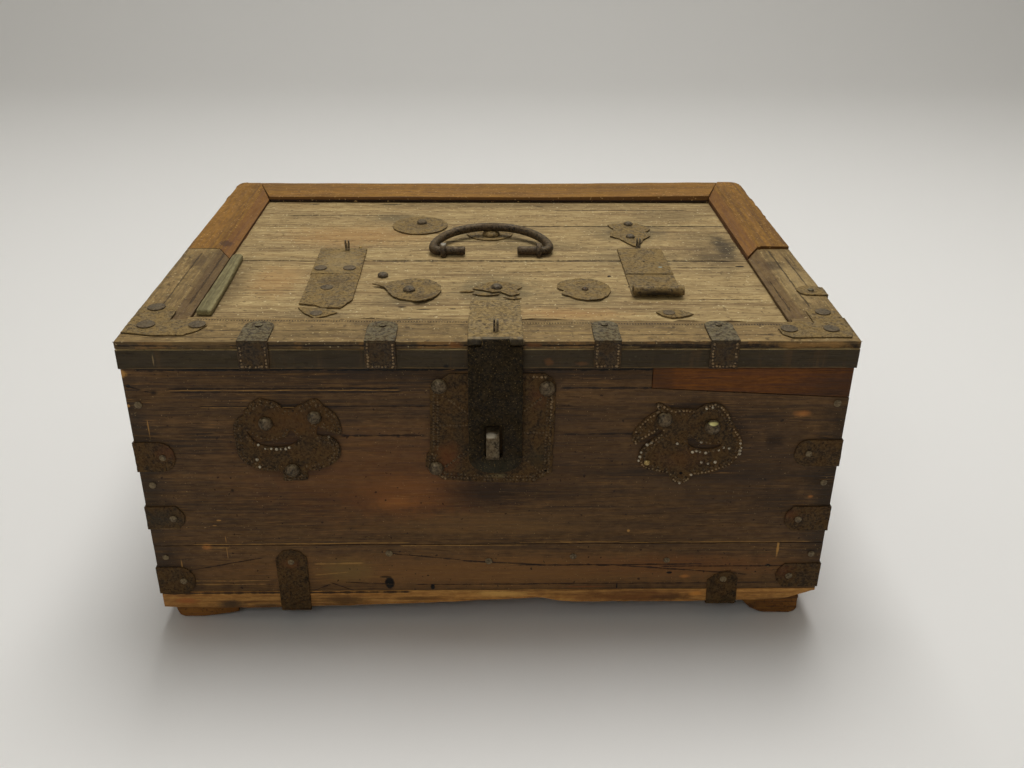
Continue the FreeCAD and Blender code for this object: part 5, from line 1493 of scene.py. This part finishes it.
ahead_way, out_left, out_right, down, rearward, up = (
    (0, -1, 0), (-1, 0, 0), (1, 0, 0), (0, 0, -1), (0, 1, 0), (0, 0, 1))
dome_seats = [
    (-35.7, 0.8, -34.2, ahead_way), (39.6, 0.8, -36.0, ahead_way), (-39.4, 0.8, -100.8, ahead_way),
    (-158.6, 0.8, -63.4, ahead_way), (-123.8, 0.8, -58.6, ahead_way),
    (-143.0, 0.8, -102.2, ahead_way), (123.6, 0.8, -61.0, ahead_way),
    (158.4, 0.8, -67.3, ahead_way)]
nails("plate_domes", dome_seats, 5.5, 3.6, "dome", "chest", bronze, "dome_nails")
nails("brass_head", [(113.6, 0.8, -97.0, ahead_way)], 2.2, 1.4, "dome", "chest", brass)

box_seats = [(x, 2.0, z, ahead_way) for x, z in (
    (-245.9, -49.1), (245.9, -49.1), (-245.9, -115.4), (245.9, -115.4), (-245.9, -179.9),
    (245.9, -179.9), (-77.2, -177.2), (-1.5, -185.1), (63.0, -181.0), (134.9, -185.1))]
for x, z in (
        (-234.8, -91.6), (-234.8, -144.0), (-234.8, -201.4), (230.9, -90.0), (230.9, -147.1),
        (230.9, -199.7)):
    box_seats.append((x, 0.8, z, ahead_way))
    box_seats.append((math.copysign(255.2, x), 28.6, z, out_left if x < 0 else out_right))
for x, z in ((-151.6, -184.3), (180.1, -202.6)):
    box_seats += [(x, 0.8, z, ahead_way), (x, 16.0, -225.5, down)]
for x in (-150, 150):
    box_seats += [(x, 385.6, -47.0, rearward), (x, 385.6, -68.6, rearward)]
nails("box_studs", box_seats, 2.8, 1.1, "flat", "chest", stud_iron, "box_nails")

lid_dome_seats = [(-62.7, 273.7, -5.1, up), (-62.7, 106.0, -5.1, up), (5.1, 111.4, -5.1, up),
                  (127.5, 269.8, -5.1, up), (125.0, 233.8, -5.1, up), (-86.2, 139.6, -6.0, up)]
nails("lid_domes", lid_dome_seats, 4.5, 2.5, "dome", "lid", nail_iron, "lid_nails")
nails("lid_brass_pin", [(-112, 208.7, -6.2, up)], 1.5, 1.3, "dome", "lid", brass)
nails("lid_tack", [(96, 139, -6.2, up)], 1.4, 1.0, "dome", "lid", nail_iron)
nails("lid_small_dome", [(73.9, 107.9, -5.1, up)], 2.6, 1.8, "dome", "lid", dot_iron)
small_flat_seats = [(-138.0, 152.9, -4.2, up), (-114.5, 152.9, -4.2, up), (-127.0, 111.4, -4.8, up),
                    (-127.5, 60.6, -5.1, up), (132.1, 61.4, -5.1, up)]
nails("strap_heads", small_flat_seats, 5.1, 1.0, "flat", "lid", nail_iron)
stud_seats = [
    (-161.4, 24.2, 1.2, up), (-75.2, 24.0, 1.2, up), (80.3, 25.2, 1.2, up), (160.9, 24.6, 1.2, up),
    (245.0, 90.9, 1.2, up), (-150.0, 351.2, -22.6, down), (-150.0, 336.8, -22.6, down),
    (150.0, 351.2, -22.6, down), (150.0, 336.8, -22.6, down)]
nails("lid_studs", stud_seats, 2.8, 1.1, "flat", "lid", edge_iron)
flat_seats = [
    (-241.8, 57.6, 0.9, up), (-240.1, 26.2, 0.9, up), (-204.5, 26.2, 0.9, up),
    (241.7, 48.2, 0.9, up), (239.0, 18.3, 0.9, up), (209.2, 18.3, 0.9, up)]
nails("corner_plate_heads", flat_seats, 6.2, 1.2, "flat", "lid", nail_iron)
print("nails made")

# %% [markdown]
# ## Ironwork on the lid
# Straps fold over the front edge, angle plates hold the corners, and thin round plates lie on the
# panel, torn and lifting. A lifting plate needs vertices inside its outline, so it is cut across
# both ways every few millimetres, and then every vertex rises by a soft noise.

# %% Edge straps and corner plates


def buckle(piece, amount, size, seed, centre=None, reach=1.0, curl=0.0):
    """Cuts a thin plate across both ways and lifts it unevenly; with a centre, its rim curls up."""
    cross_cut(piece, 0, 3)
    cross_cut(piece, 1, 3)
    for vertex in piece.data.vertices:
        x, y = vertex.co.x / mm, (vertex.co.y - lid_front) / mm
        rise = amount * (0.5 + 0.5 * noise.noise(Vector((x / size, y / size, seed))))
        if centre:
            far = min(1.0, math.hypot(x - centre[0], y - centre[1]) / reach)
            bend = 0.5 + 0.5 * noise.noise(Vector((x / 11, y / 11, seed + 3)))
            rise += curl * bend * far ** 3
        vertex.co.z += rise * mm


def lying(outline, step, amount, seed, thickness, lift, size, *curling):
    """A thin plate on the panel, with a ragged outline and an uneven lift."""
    piece = cut_out(ragged(outline, step, amount, seed), on_panel, thickness)
    buckle(piece, lift, size, seed, *curling)
    return piece


edge_straps = (("far_left", -171.9, -150.9, 33.0), ("near_left", -85.9, -64.5, 33.0),
               ("near_right", 71.0, 89.6, 33.0), ("far_right", 150.9, 170.9, 33.0))
for number, (word, left, right, tip) in enumerate(edge_straps):
    arch = [(u, v) for v, u in tip_points(-1.2, tip, left, right, "round")]
    top_leg = sheet(arch, on_top(0), 1.2, 2.5, 0.3, 80 + number)
    front_outline = [(left, -20.4), (right, -20.4), (right, 0), (left, 0)]
    front_leg = sheet(front_outline, on_front(0), 1.2, 2.5, 0.3, 84 + number)
    strap = welded([top_leg, front_leg])
    aged(strap, "edge_strap_" + word, "lid", "dark_iron", edge_iron)
    border = row(
        (left + 2, -2), (left + 2, -18.5), 2.3) + row((right - 2, -2), (right - 2, -18.5), 2.3)
    border += row((left + 3, -18.5), (right - 3, -18.5), 2.3)
    dots("edge_strap_dots_" + word, border, on_front(0), "lid", rubbed_iron, 0.8, 86)

leaf_tip = [
    (256.2, 82.0), (256.2, 97.5), (250, 99.5), (244, 101.5), (237.5, 98.5), (234.6, 93),
    (236.4, 86), (240, 83)]
top_leg = sheet(leaf_tip, on_top(0), 1.2, 2.5, 0.3, 90)
side_leg = sheet([(82, -15), (97.5, -15), (97.5, 0), (82, 0)], on_side(255), 1.2, 2.5, 0.3, 91)
settle(
    welded([top_leg, side_leg]), "aged_side_strap", "lid", "dusty_iron", dusty_iron, "side_strap")

left_plate = [
    (0.02, 0.22), (0.02, 0.91), (0.19, 1.0), (0.46, 0.91), (0.50, 0.83), (0.50, 0.56), (0.84, 0.55),
    (1.0, 0.42), (0.92, 0.27), (0.78, 0.15), (0.39, 0.15), (0.16, 0.20)]
right_plate = [
    (0.03, 0.30), (0.04, 0.89), (0.14, 0.95), (0.36, 1.0), (0.46, 0.93), (0.465, 0.54),
    (0.62, 0.58), (0.86, 0.56), (1.0, 0.36), (0.98, 0.195), (0.88, 0.09), (0.10, 0.10)]
left_plate_outline = [(u * 57.4 - lid_half, v * 64) for u, v in left_plate]
right_plate_outline = [(lid_half - u * 53.3, v * 55.4) for u, v in right_plate]
for word, outline in (("left", left_plate_outline), ("right", right_plate_outline)):
    piece = sheet(outline, on_top(0), 0.9, 2.0, 0.4, 92)
    settle(
        piece, "aged_corner_plate_" + word, "lid", "dusty_iron", dusty_iron,
        "lid_corner_plate_" + word)
print("edge straps and corner plates made")

# %% Round plates and what is left of two more
rear_plate = arc((-64, 267.9), 25, 0, 354, 59)
front_left_plate = [
    (-38, 105), (-38.5, 113), (-42, 121), (-49, 127), (-58, 130), (-68, 129), (-77, 124.5),
    (-85, 119), (-92.5, 117.8), (-88, 115), (-83.5, 113), (-80, 107), (-77.5, 100), (-74, 93),
    (-68, 88.5), (-60, 86), (-55, 81), (-49, 83), (-43, 90), (-39.5, 98)]
front_right_plate = [
    (94, 107), (93, 116), (88, 124), (80, 130), (70, 131), (60, 128), (53, 120), (52.5, 112),
    (57, 106), (55, 99), (61, 95), (66, 89), (74, 86), (84, 87), (91, 96)]
plates = []
for outline, centre, amount, curl, seed in (
        (rear_plate, (-64, 268), 0.3, 0.5, 100), (front_left_plate, (-62, 106), 0.5, 2.2, 101),
        (front_right_plate, (73, 108), 0.4, 1.4, 102)):
    plates.append(lying(outline, 1.6, 0.55, seed, 0.9, amount, 13, centre, 26, curl))
rosettes = welded(plates)
soften(rosettes, 0.2, 1, 60)
settle(rosettes, "aged_rosettes", "lid", "dusty_iron", dusty_iron, "rosettes")

decayed = [
    (-14, 110), (-8, 118), (-1, 123), (6, 126), (14, 124), (20, 118), (25, 113), (21, 108),
    (23, 100), (17, 95), (12, 99), (8, 104), (2, 103), (-4, 106)]
flower = [
    (108, 269), (113, 257), (109, 250), (107, 237), (115, 231), (119, 222), (124, 213), (128, 208),
    (133, 219), (136, 228), (144, 239), (140, 248), (146, 256), (142, 264), (136, 273), (126, 275),
    (116, 272)]
flake_one = [(-14, 99), (-6, 101), (2, 99), (8, 101), (6, 98), (-2, 96), (-9, 97)]
flake_two = [(-24, 104), (-18, 107), (-12, 105), (-17, 103)]
flake_three = [(10, 92), (17, 93), (24, 91), (18, 88.5)]
remains = []
for outline, amount, seed in (
        (decayed, 1.0, 110), (flower, 1.0, 111), (flake_one, 0.8, 112), (flake_two, 0.6, 113),
        (flake_three, 0.5, 114)):
    remains.append(lying(anticlockwise(outline), 1.5, 0.7, seed, 0.8, amount, 7))
broken = welded(remains)
soften(broken, 0.15, 1, 60)
settle(broken, "aged_rosette_remnants", "lid", "dusty_iron", dusty_iron, "rosette_remnants")
print("round plates made")

# %% [markdown]
# The two long straps are in two lengths each. The left front length has cracked across and left
# its tip behind. The right front length has rolled itself up at the free end: its front edge is
# spun about an axis above it, and the sheet then gets its thickness.

# %% Long straps
left_rear = [(-144.4, 141.2), (-104.4, 141.2), (-105.4, 202), (-144.8, 202)]
left_front = [
    (-143.4, 79.5), (-131, 76.5), (-126, 72), (-111.5, 71.4), (-104.4, 87), (-104.4, 141.2),
    (-143.4, 141.2)]
left_tip = [
    (-143, 72.5), (-136, 61), (-127.5, 52), (-119, 57), (-112.5, 63), (-122, 70), (-132, 71.5)]
right_rear = [(109.5, 141.2), (148.5, 141.2), (147.5, 202), (109.5, 202)]
right_tip = [
    (123, 64), (126, 57), (133, 52.5), (141, 53.5), (150, 59), (145, 64), (138, 67), (129, 67)]
rear_left = lying(left_rear, 2.2, 0.4, 120, 1.8, 0.15, 18)
soften(rear_left, 0.3, 1, 60)
settle(rear_left, "aged_left_strap_rear", "lid", "dusty_iron", dusty_iron, "top_strap_left_rear")
front_left = lying(left_front, 2.0, 0.5, 121, 1.2, 0.5, 15)
both = welded([front_left, lying(left_tip, 1.6, 0.5, 122, 0.9, 0.5, 9)])
soften(both, 0.2, 1, 60)
settle(both, "aged_left_strap_front", "lid", "dusty_iron", dusty_iron, "top_strap_left_front")
rear_right = lying(right_rear, 2.2, 0.4, 123, 1.8, 0.15, 18)
soften(rear_right, 0.3, 1, 60)
settle(rear_right, "aged_right_strap_rear", "lid", "dusty_iron", dusty_iron, "top_strap_right_rear")

clear()
bpy.ops.mesh.primitive_grid_add(x_subdivisions=16, y_subdivisions=8, size=1)
roll = bpy.context.object
for vertex in roll.data.vertices:
    u, v = vertex.co.x + 0.5, vertex.co.y + 0.5
    wave = 0.5 * noise.noise(Vector((u * 5, v * 3, 9)))
    vertex.co = at(109.5 + 39 * u + wave, 95.4 + 45.4 * v, -5.4)
bpy.ops.object.mode_set(mode="EDIT")
bpy.ops.mesh.select_all(action="DESELECT")
leave()
for edge in roll.data.edges:
    edge.select = all(roll.data.vertices[index].co.y < at(0, 95.6, 0).y for index in edge.vertices)
bpy.ops.object.mode_set(mode="EDIT")
bpy.ops.mesh.select_mode(type="EDGE")
bpy.ops.mesh.spin(steps=16, angle=math.radians(-290), center=at(0, 95.4, -1.2), axis=(1, 0, 0))
bpy.ops.mesh.select_all(action="SELECT")
bpy.ops.mesh.remove_doubles(threshold=0.00005)
bpy.ops.mesh.normals_make_consistent(inside=False)
leave()
for vertex in roll.data.vertices:
    x, y = vertex.co.x / mm, (vertex.co.y - lid_front) / mm
    if vertex.co.z > level(-5.0):
        vertex.co.y += 0.9 * noise.noise(Vector((x * 0.16, 4, 0))) * mm
        vertex.co.z += 0.5 * noise.noise(Vector((x * 0.3, 8, y * 0.2))) * mm
modify(roll, "SOLIDIFY", thickness=1.1 * mm, offset=0)
both = welded([roll, lying(right_tip, 1.6, 0.5, 124, 0.9, 0.6, 9)])
settle(both, "aged_right_strap_front", "lid", "dusty_iron", dusty_iron, "top_strap_right_front")
print("long straps made")

# %% [markdown]
# ## The bail and its eyes
# The bail is one forged bar. A ring of vertices is carried along the bar's line: straight for the
# foot, then spun round each bend, as a smith would bend it. It leans back by five degrees.

# %% Bail
bail_axis = at(1, 189.009, -1.7)
bar_radius = 3.8
half_width, reach, corner, side_radius, foot_tip = 49.5, 51.0, 6.0, 32.0, 22.0
span = half_width - side_radius
rise = reach - corner
crown_radius = (span ** 2 + rise ** 2 - side_radius ** 2) / (2 * (rise - side_radius))
crown_centre = reach - crown_radius
lean = math.atan2(corner - crown_centre, span)

clear()
bpy.ops.mesh.primitive_circle_add(
    vertices=20, radius=bar_radius * mm, location=(foot_tip * mm, 0, 0),
    rotation=(0, math.pi / 2, 0))
bail = bpy.context.object
bake()
edit()


def carry(distance):
    """Extrudes the selected ring straight on along x."""
    bpy.ops.mesh.extrude_region_move(TRANSFORM_OT_translate={"value": (distance * mm, 0, 0)})


def bend(centre, degrees, steps):
    """Spins the selected ring round a centre in the bail's own plane."""
    bpy.ops.mesh.spin(
        steps=steps, angle=-math.radians(degrees), center=(centre[0] * mm, centre[1] * mm, 0),
        axis=(0, 0, 1))


for step in range(5):
    carry((half_width - corner - foot_tip) / 5)
bend((half_width - corner, corner), 90, 6)
bend((span, corner), math.degrees(lean), 14)
bend((0, crown_centre), 2 * (90 - math.degrees(lean)), 26)
bend((-span, corner), math.degrees(lean), 14)
bend((-half_width + corner, corner), 90, 6)
for step in range(5):
    carry((half_width - corner - foot_tip) / 5)
bpy.ops.mesh.select_all(action="SELECT")
bpy.ops.mesh.remove_doubles(threshold=0.00002)
leave()
box = [max(vertex.co[axis] for vertex in bail.data.vertices) / mm for axis in range(3)]
print("bail vertices", len(bail.data.vertices), "reach", [round(value, 1) for value in box])

# %% Bail finished and hung
bpy.ops.object.mode_set(mode="EDIT")
bpy.ops.mesh.select_all(action="DESELECT")
bpy.ops.mesh.select_mode(type="EDGE")
bpy.ops.mesh.select_non_manifold(extend=False)
bpy.ops.mesh.edge_face_add()
bpy.ops.mesh.select_all(action="SELECT")
bpy.ops.mesh.normals_make_consistent(inside=False)
leave()
soften(bail, 1.2, 2, 60)
for vertex in bail.data.vertices:
    x, y = vertex.co.x / mm, vertex.co.y / mm
    hammered = noise.noise(Vector((x * 0.12, y * 0.12, vertex.co.z * 90)))
    vertex.co -= vertex.normal * (0.22 * (0.5 + 0.5 * hammered)) * mm
tilt = Matrix.Translation(bail_axis) @ Matrix.Rotation(math.radians(5), 4, "X")
bail.data.transform(tilt)
settle(bail, "aged_bail", "bail", "bail_iron", bail_iron, "bail", smooth=50)

eyes = []
for x in (-41.8, 39.2):
    outer = [(195.5, -5.5)] + arc((189.0, -1.7), 6.5, 0, 180, 12) + [(182.5, -5.5)]
    inner = [(185.1, -5.5)] + arc((189.0, -1.7), 3.9, 180, 0, 12) + [(192.9, -5.5)]
    eye = cut_out(outer + inner, lambda u, v, w, x=x: at(x + w, u, v), 4.6)
    soften(eye, 0.5, 2)
    eyes.append(eye)
settle(welded(eyes), "aged_bail_eyes", "lid", "bail_iron", bail_iron, "bail_eyes")

boss_plate = lying(arc((0, 247.9), 21, 0, 352, 44), 1.8, 0.6, 130, 0.9, 0.2, 12)
raised = dome(8, 4.5, 24, 14)
raised.data.transform(Matrix.Translation(at(1, 239.8, panel_level)))
wear(raised, 0.25, 4, 3)
settle(welded([boss_plate, raised]), "aged_bail_boss", "lid", "dusty_iron", dusty_iron, "bail_boss")
print("bail hung in its eyes")

# %% [markdown]
# ## The hasp, its leaf and the staple
# The hasp is a thick strap with a rounded foot, pierced by a slot for the staple. Its top is
# rolled round a pin, between two knuckles of the leaf that is nailed over the rail.

# %% Hasp and leaf
hasp_left, hasp_right = -15.5, 22.5
knuckle = (-1.0, 0.8)
foot = [(hasp_left, -91)] + [(
    3.5 - 19 * math.cos(math.radians(angle)), -91 - 12 * math.sin(math.radians(angle)))
                             for angle in range(15, 166, 15)] + [(hasp_right, -91)]
blade = cut_out(
    ragged(foot + [(hasp_right, -2.6), (hasp_left, -2.6)], 3.0, 0.15, 140), on_front(-1.0), 3.0)
slot = [(-4.0, -89.4), (8.4, -89.4), (8.4, -63.8), (-4.0, -63.8)]
cutter = cut_out(slot, on_front(8), 20)
soften(cutter, 1.8, 4)
pierce(blade, cutter)
soften(blade, 0.5, 2, 50)


def knuckle_roll(left, right):
    """A rolled knuckle round the hasp's pin."""
    clear()
    length = (right - left) * mm
    middle = at((left + right) / 2, knuckle[0], knuckle[1])
    bpy.ops.mesh.primitive_cylinder_add(
        vertices=28, radius=3 * mm, depth=length, location=middle, rotation=(0, math.pi / 2, 0))
    piece = bpy.context.object
    bake()
    cross_cut(piece, 0, 3)
    soften(piece, 0.35, 2, 60)
    wear(piece, 0.15, 5, 3)
    return piece


neck = cut_out([(-6.2, -3.2), (13.2, -3.2), (13.2, 0.8), (-6.2, 0.8)], on_front(-1.0), 3.0)
soften(neck, 0.2, 1)
hasp = welded([blade, neck, knuckle_roll(-6.2, 13.2)])
settle(hasp, "aged_hasp", "hasp", "hasp_iron", hasp_iron, "hasp")

leaf_flat = sheet(
    [(hasp_left, -1), (hasp_right, -1), (hasp_right, 40.9), (hasp_left, 40.9)], on_top(0), 1.2, 3.0,
    0.2, 142)
leaf_riser = sheet(
    [(hasp_left, -6), (hasp_right, -6), (hasp_right, 1.2), (hasp_left, 1.2)], on_front(40.9), 0.9,
    3.0, 0.1, 143)
tail_outline = [
    (hasp_left + 0.4, 40), (hasp_right, 40), (hasp_right, 85.4), (hasp_left + 0.3, 86.2)]
leaf_tail = lying(tail_outline, 2.5, 0.5, 144, 0.9, 0.25, 14)
leaf_plate = welded([
    leaf_flat, leaf_riser, leaf_tail, knuckle_roll(hasp_left, -6.5),
    knuckle_roll(13.5, hasp_right)])
settle(leaf_plate, "aged_hasp_leaf", "lid", "hasp_iron", leaf_iron, "hasp_leaf")

outer = [(16, -66), (-8.5, -66)] + arc((-8.5, -71), 5, 90, 180, 6)
outer += arc((-8.5, -83), 5, 180, 270, 6) + [(16, -88)]
inner = [(16, -84.6), (-8.5, -84.6)] + arc((-8.5, -83), 1.6, 270, 180, 3)
inner += arc((-8.5, -71), 1.6, 180, 90, 3) + [(16, -69.4)]
staple = cut_out(outer[::-1] + inner[::-1], lambda u, v, w: at(-3.15 + w, u, v), 9.4)
soften(staple, 0.8, 3, 50)
wear(staple, 0.2, 4, 2)
settle(staple, "aged_lock_staple", "chest", "worn_steel", worn_steel, "lock_staple")
print("hasp, leaf and staple made")

# %% [markdown]
# Split pins hold the straps and the leaf. Each is a bent strip with its two legs standing up
# through the lid, sprung a little apart.

# %% Split pins
leg_height, leg_apart = 9.0, 1.05
pins = []
for x, y, seat, spread, lean_y in (
        (-121.6, 197.1, -4.2, 0.5, -0.8), (128.5, 207.0, -6.0, 0.3, 1.0),
        (3.8, 14.3, 1.2, 0.15, 0.2)):
    for side in (-1, 1):
        clear()
        middle = at(x + side * leg_apart, y, seat + leg_height / 2)
        leg_size = (1.7 * mm, 2.4 * mm, leg_height * mm)
        bpy.ops.mesh.primitive_cube_add(size=1, location=middle, scale=leg_size)
        leg = bpy.context.object
        bake()
        cross_cut(leg, 2, 1.5)
        soften(leg, 0.3, 2)
        for vertex in leg.data.vertices:
            share = (vertex.co.z - level(seat)) / (leg_height * mm)
            vertex.co.x += side * spread * share ** 2 * mm
            vertex.co.y += lean_y * share ** 2 * mm
            if share > 0.8:
                vertex.co.x += (at(x + side * leg_apart, 0, 0).x - vertex.co.x) * 0.3
        pins.append(leg)
settle(welded(pins), "aged_split_pins", "lid", "nail_iron", pair_iron, "cotter_pins")
print("split pins made")

# %% [markdown]
# ## CAD nodes that stay
# The back hinges and the hasp's pin are right as they come, so they only get a finish.

# %% Finishes for the nodes that stay
for name, finish in (
        ("hinge_lower_leaves", dark_iron), ("hinge_upper_leaves", dark_iron),
        ("hinge_pins", nail_iron), ("hasp_pin", nail_iron)):
    for slot in nodes[name].material_slots:
        slot.material = finish
print("hinges and pin finished")

# %% [markdown]
# ## Floor and light
# The floor is a plain pale sheet that curves up behind the chest. The light is a broad soft one
# from above with a weaker one from the front, so that the top is brighter than the front, as in
# the photograph.

# %% Stage
clear()
bpy.ops.mesh.primitive_plane_add(size=8, location=(0, -2.0, 0))
floor = bpy.context.object
floor.name = "floor"
bake()
for edge in floor.data.edges:
    edge.select = all(floor.data.vertices[index].co.y > 1 for index in edge.vertices)
bpy.ops.object.mode_set(mode="EDIT")
bpy.ops.mesh.select_mode(type="EDGE")
for step in range(12):
    angle = math.radians(7.5 * (step + 0.5))
    rise = (0, 0.12 * math.cos(angle), 0.12 * math.sin(angle))
    bpy.ops.mesh.extrude_region_move(TRANSFORM_OT_translate={"value": rise})
bpy.ops.mesh.extrude_region_move(TRANSFORM_OT_translate={"value": (0, 0, 3)})
leave()
bpy.ops.object.shade_smooth()
floor_finish = bpy.data.materials.new("pale_floor")
floor_finish.use_nodes = True
floor_shader = floor_finish.node_tree.nodes["Principled BSDF"]
floor_shader.inputs["Base Color"].default_value = (0.88, 0.865, 0.83, 1)
floor_shader.inputs["Roughness"].default_value = 0.9
floor.data.materials.append(floor_finish)

world = bpy.data.worlds.new("studio")
world.use_nodes = True
bpy.context.scene.world = world
sky = world.node_tree
background = sky.nodes["Background"]
path = add(sky, "ShaderNodeLightPath").outputs
seen = reckon(
    sky, "MAXIMUM", path["Is Camera Ray"],
    reckon(sky, "MAXIMUM", path["Is Glossy Ray"], path["Is Transmission Ray"]))
tone = mixed(sky, path["Is Camera Ray"], (1.0, 0.97, 0.92, 1), paint((222, 216, 190)))
sky.links.new(tone, background.inputs["Color"])
sky.links.new(between(sky, seen, 0, 1, 0.6, 1.0), background.inputs["Strength"])


def lamp(name, place, aim, size, power):
    """A square soft light at a place, turned to a point."""
    data = bpy.data.lights.new(name, "AREA")
    data.shape = "SQUARE"
    data.size = size
    data.energy = power
    made = bpy.data.objects.new(name, data)
    bpy.context.scene.collection.objects.link(made)
    made.location = place
    made.rotation_euler = (Vector(aim) - Vector(place)).to_track_quat("-Z", "Y").to_euler()


lamp("ceiling", (0.1, 0.5, 2.2), (0, 0, 0), 1.2, 34)
lamp("front", (-0.6, -2.2, 1.5), (0, 0, 0.15), 1.4, 16)
bpy.context.scene.view_settings.view_transform = "Standard"
print("stage set")
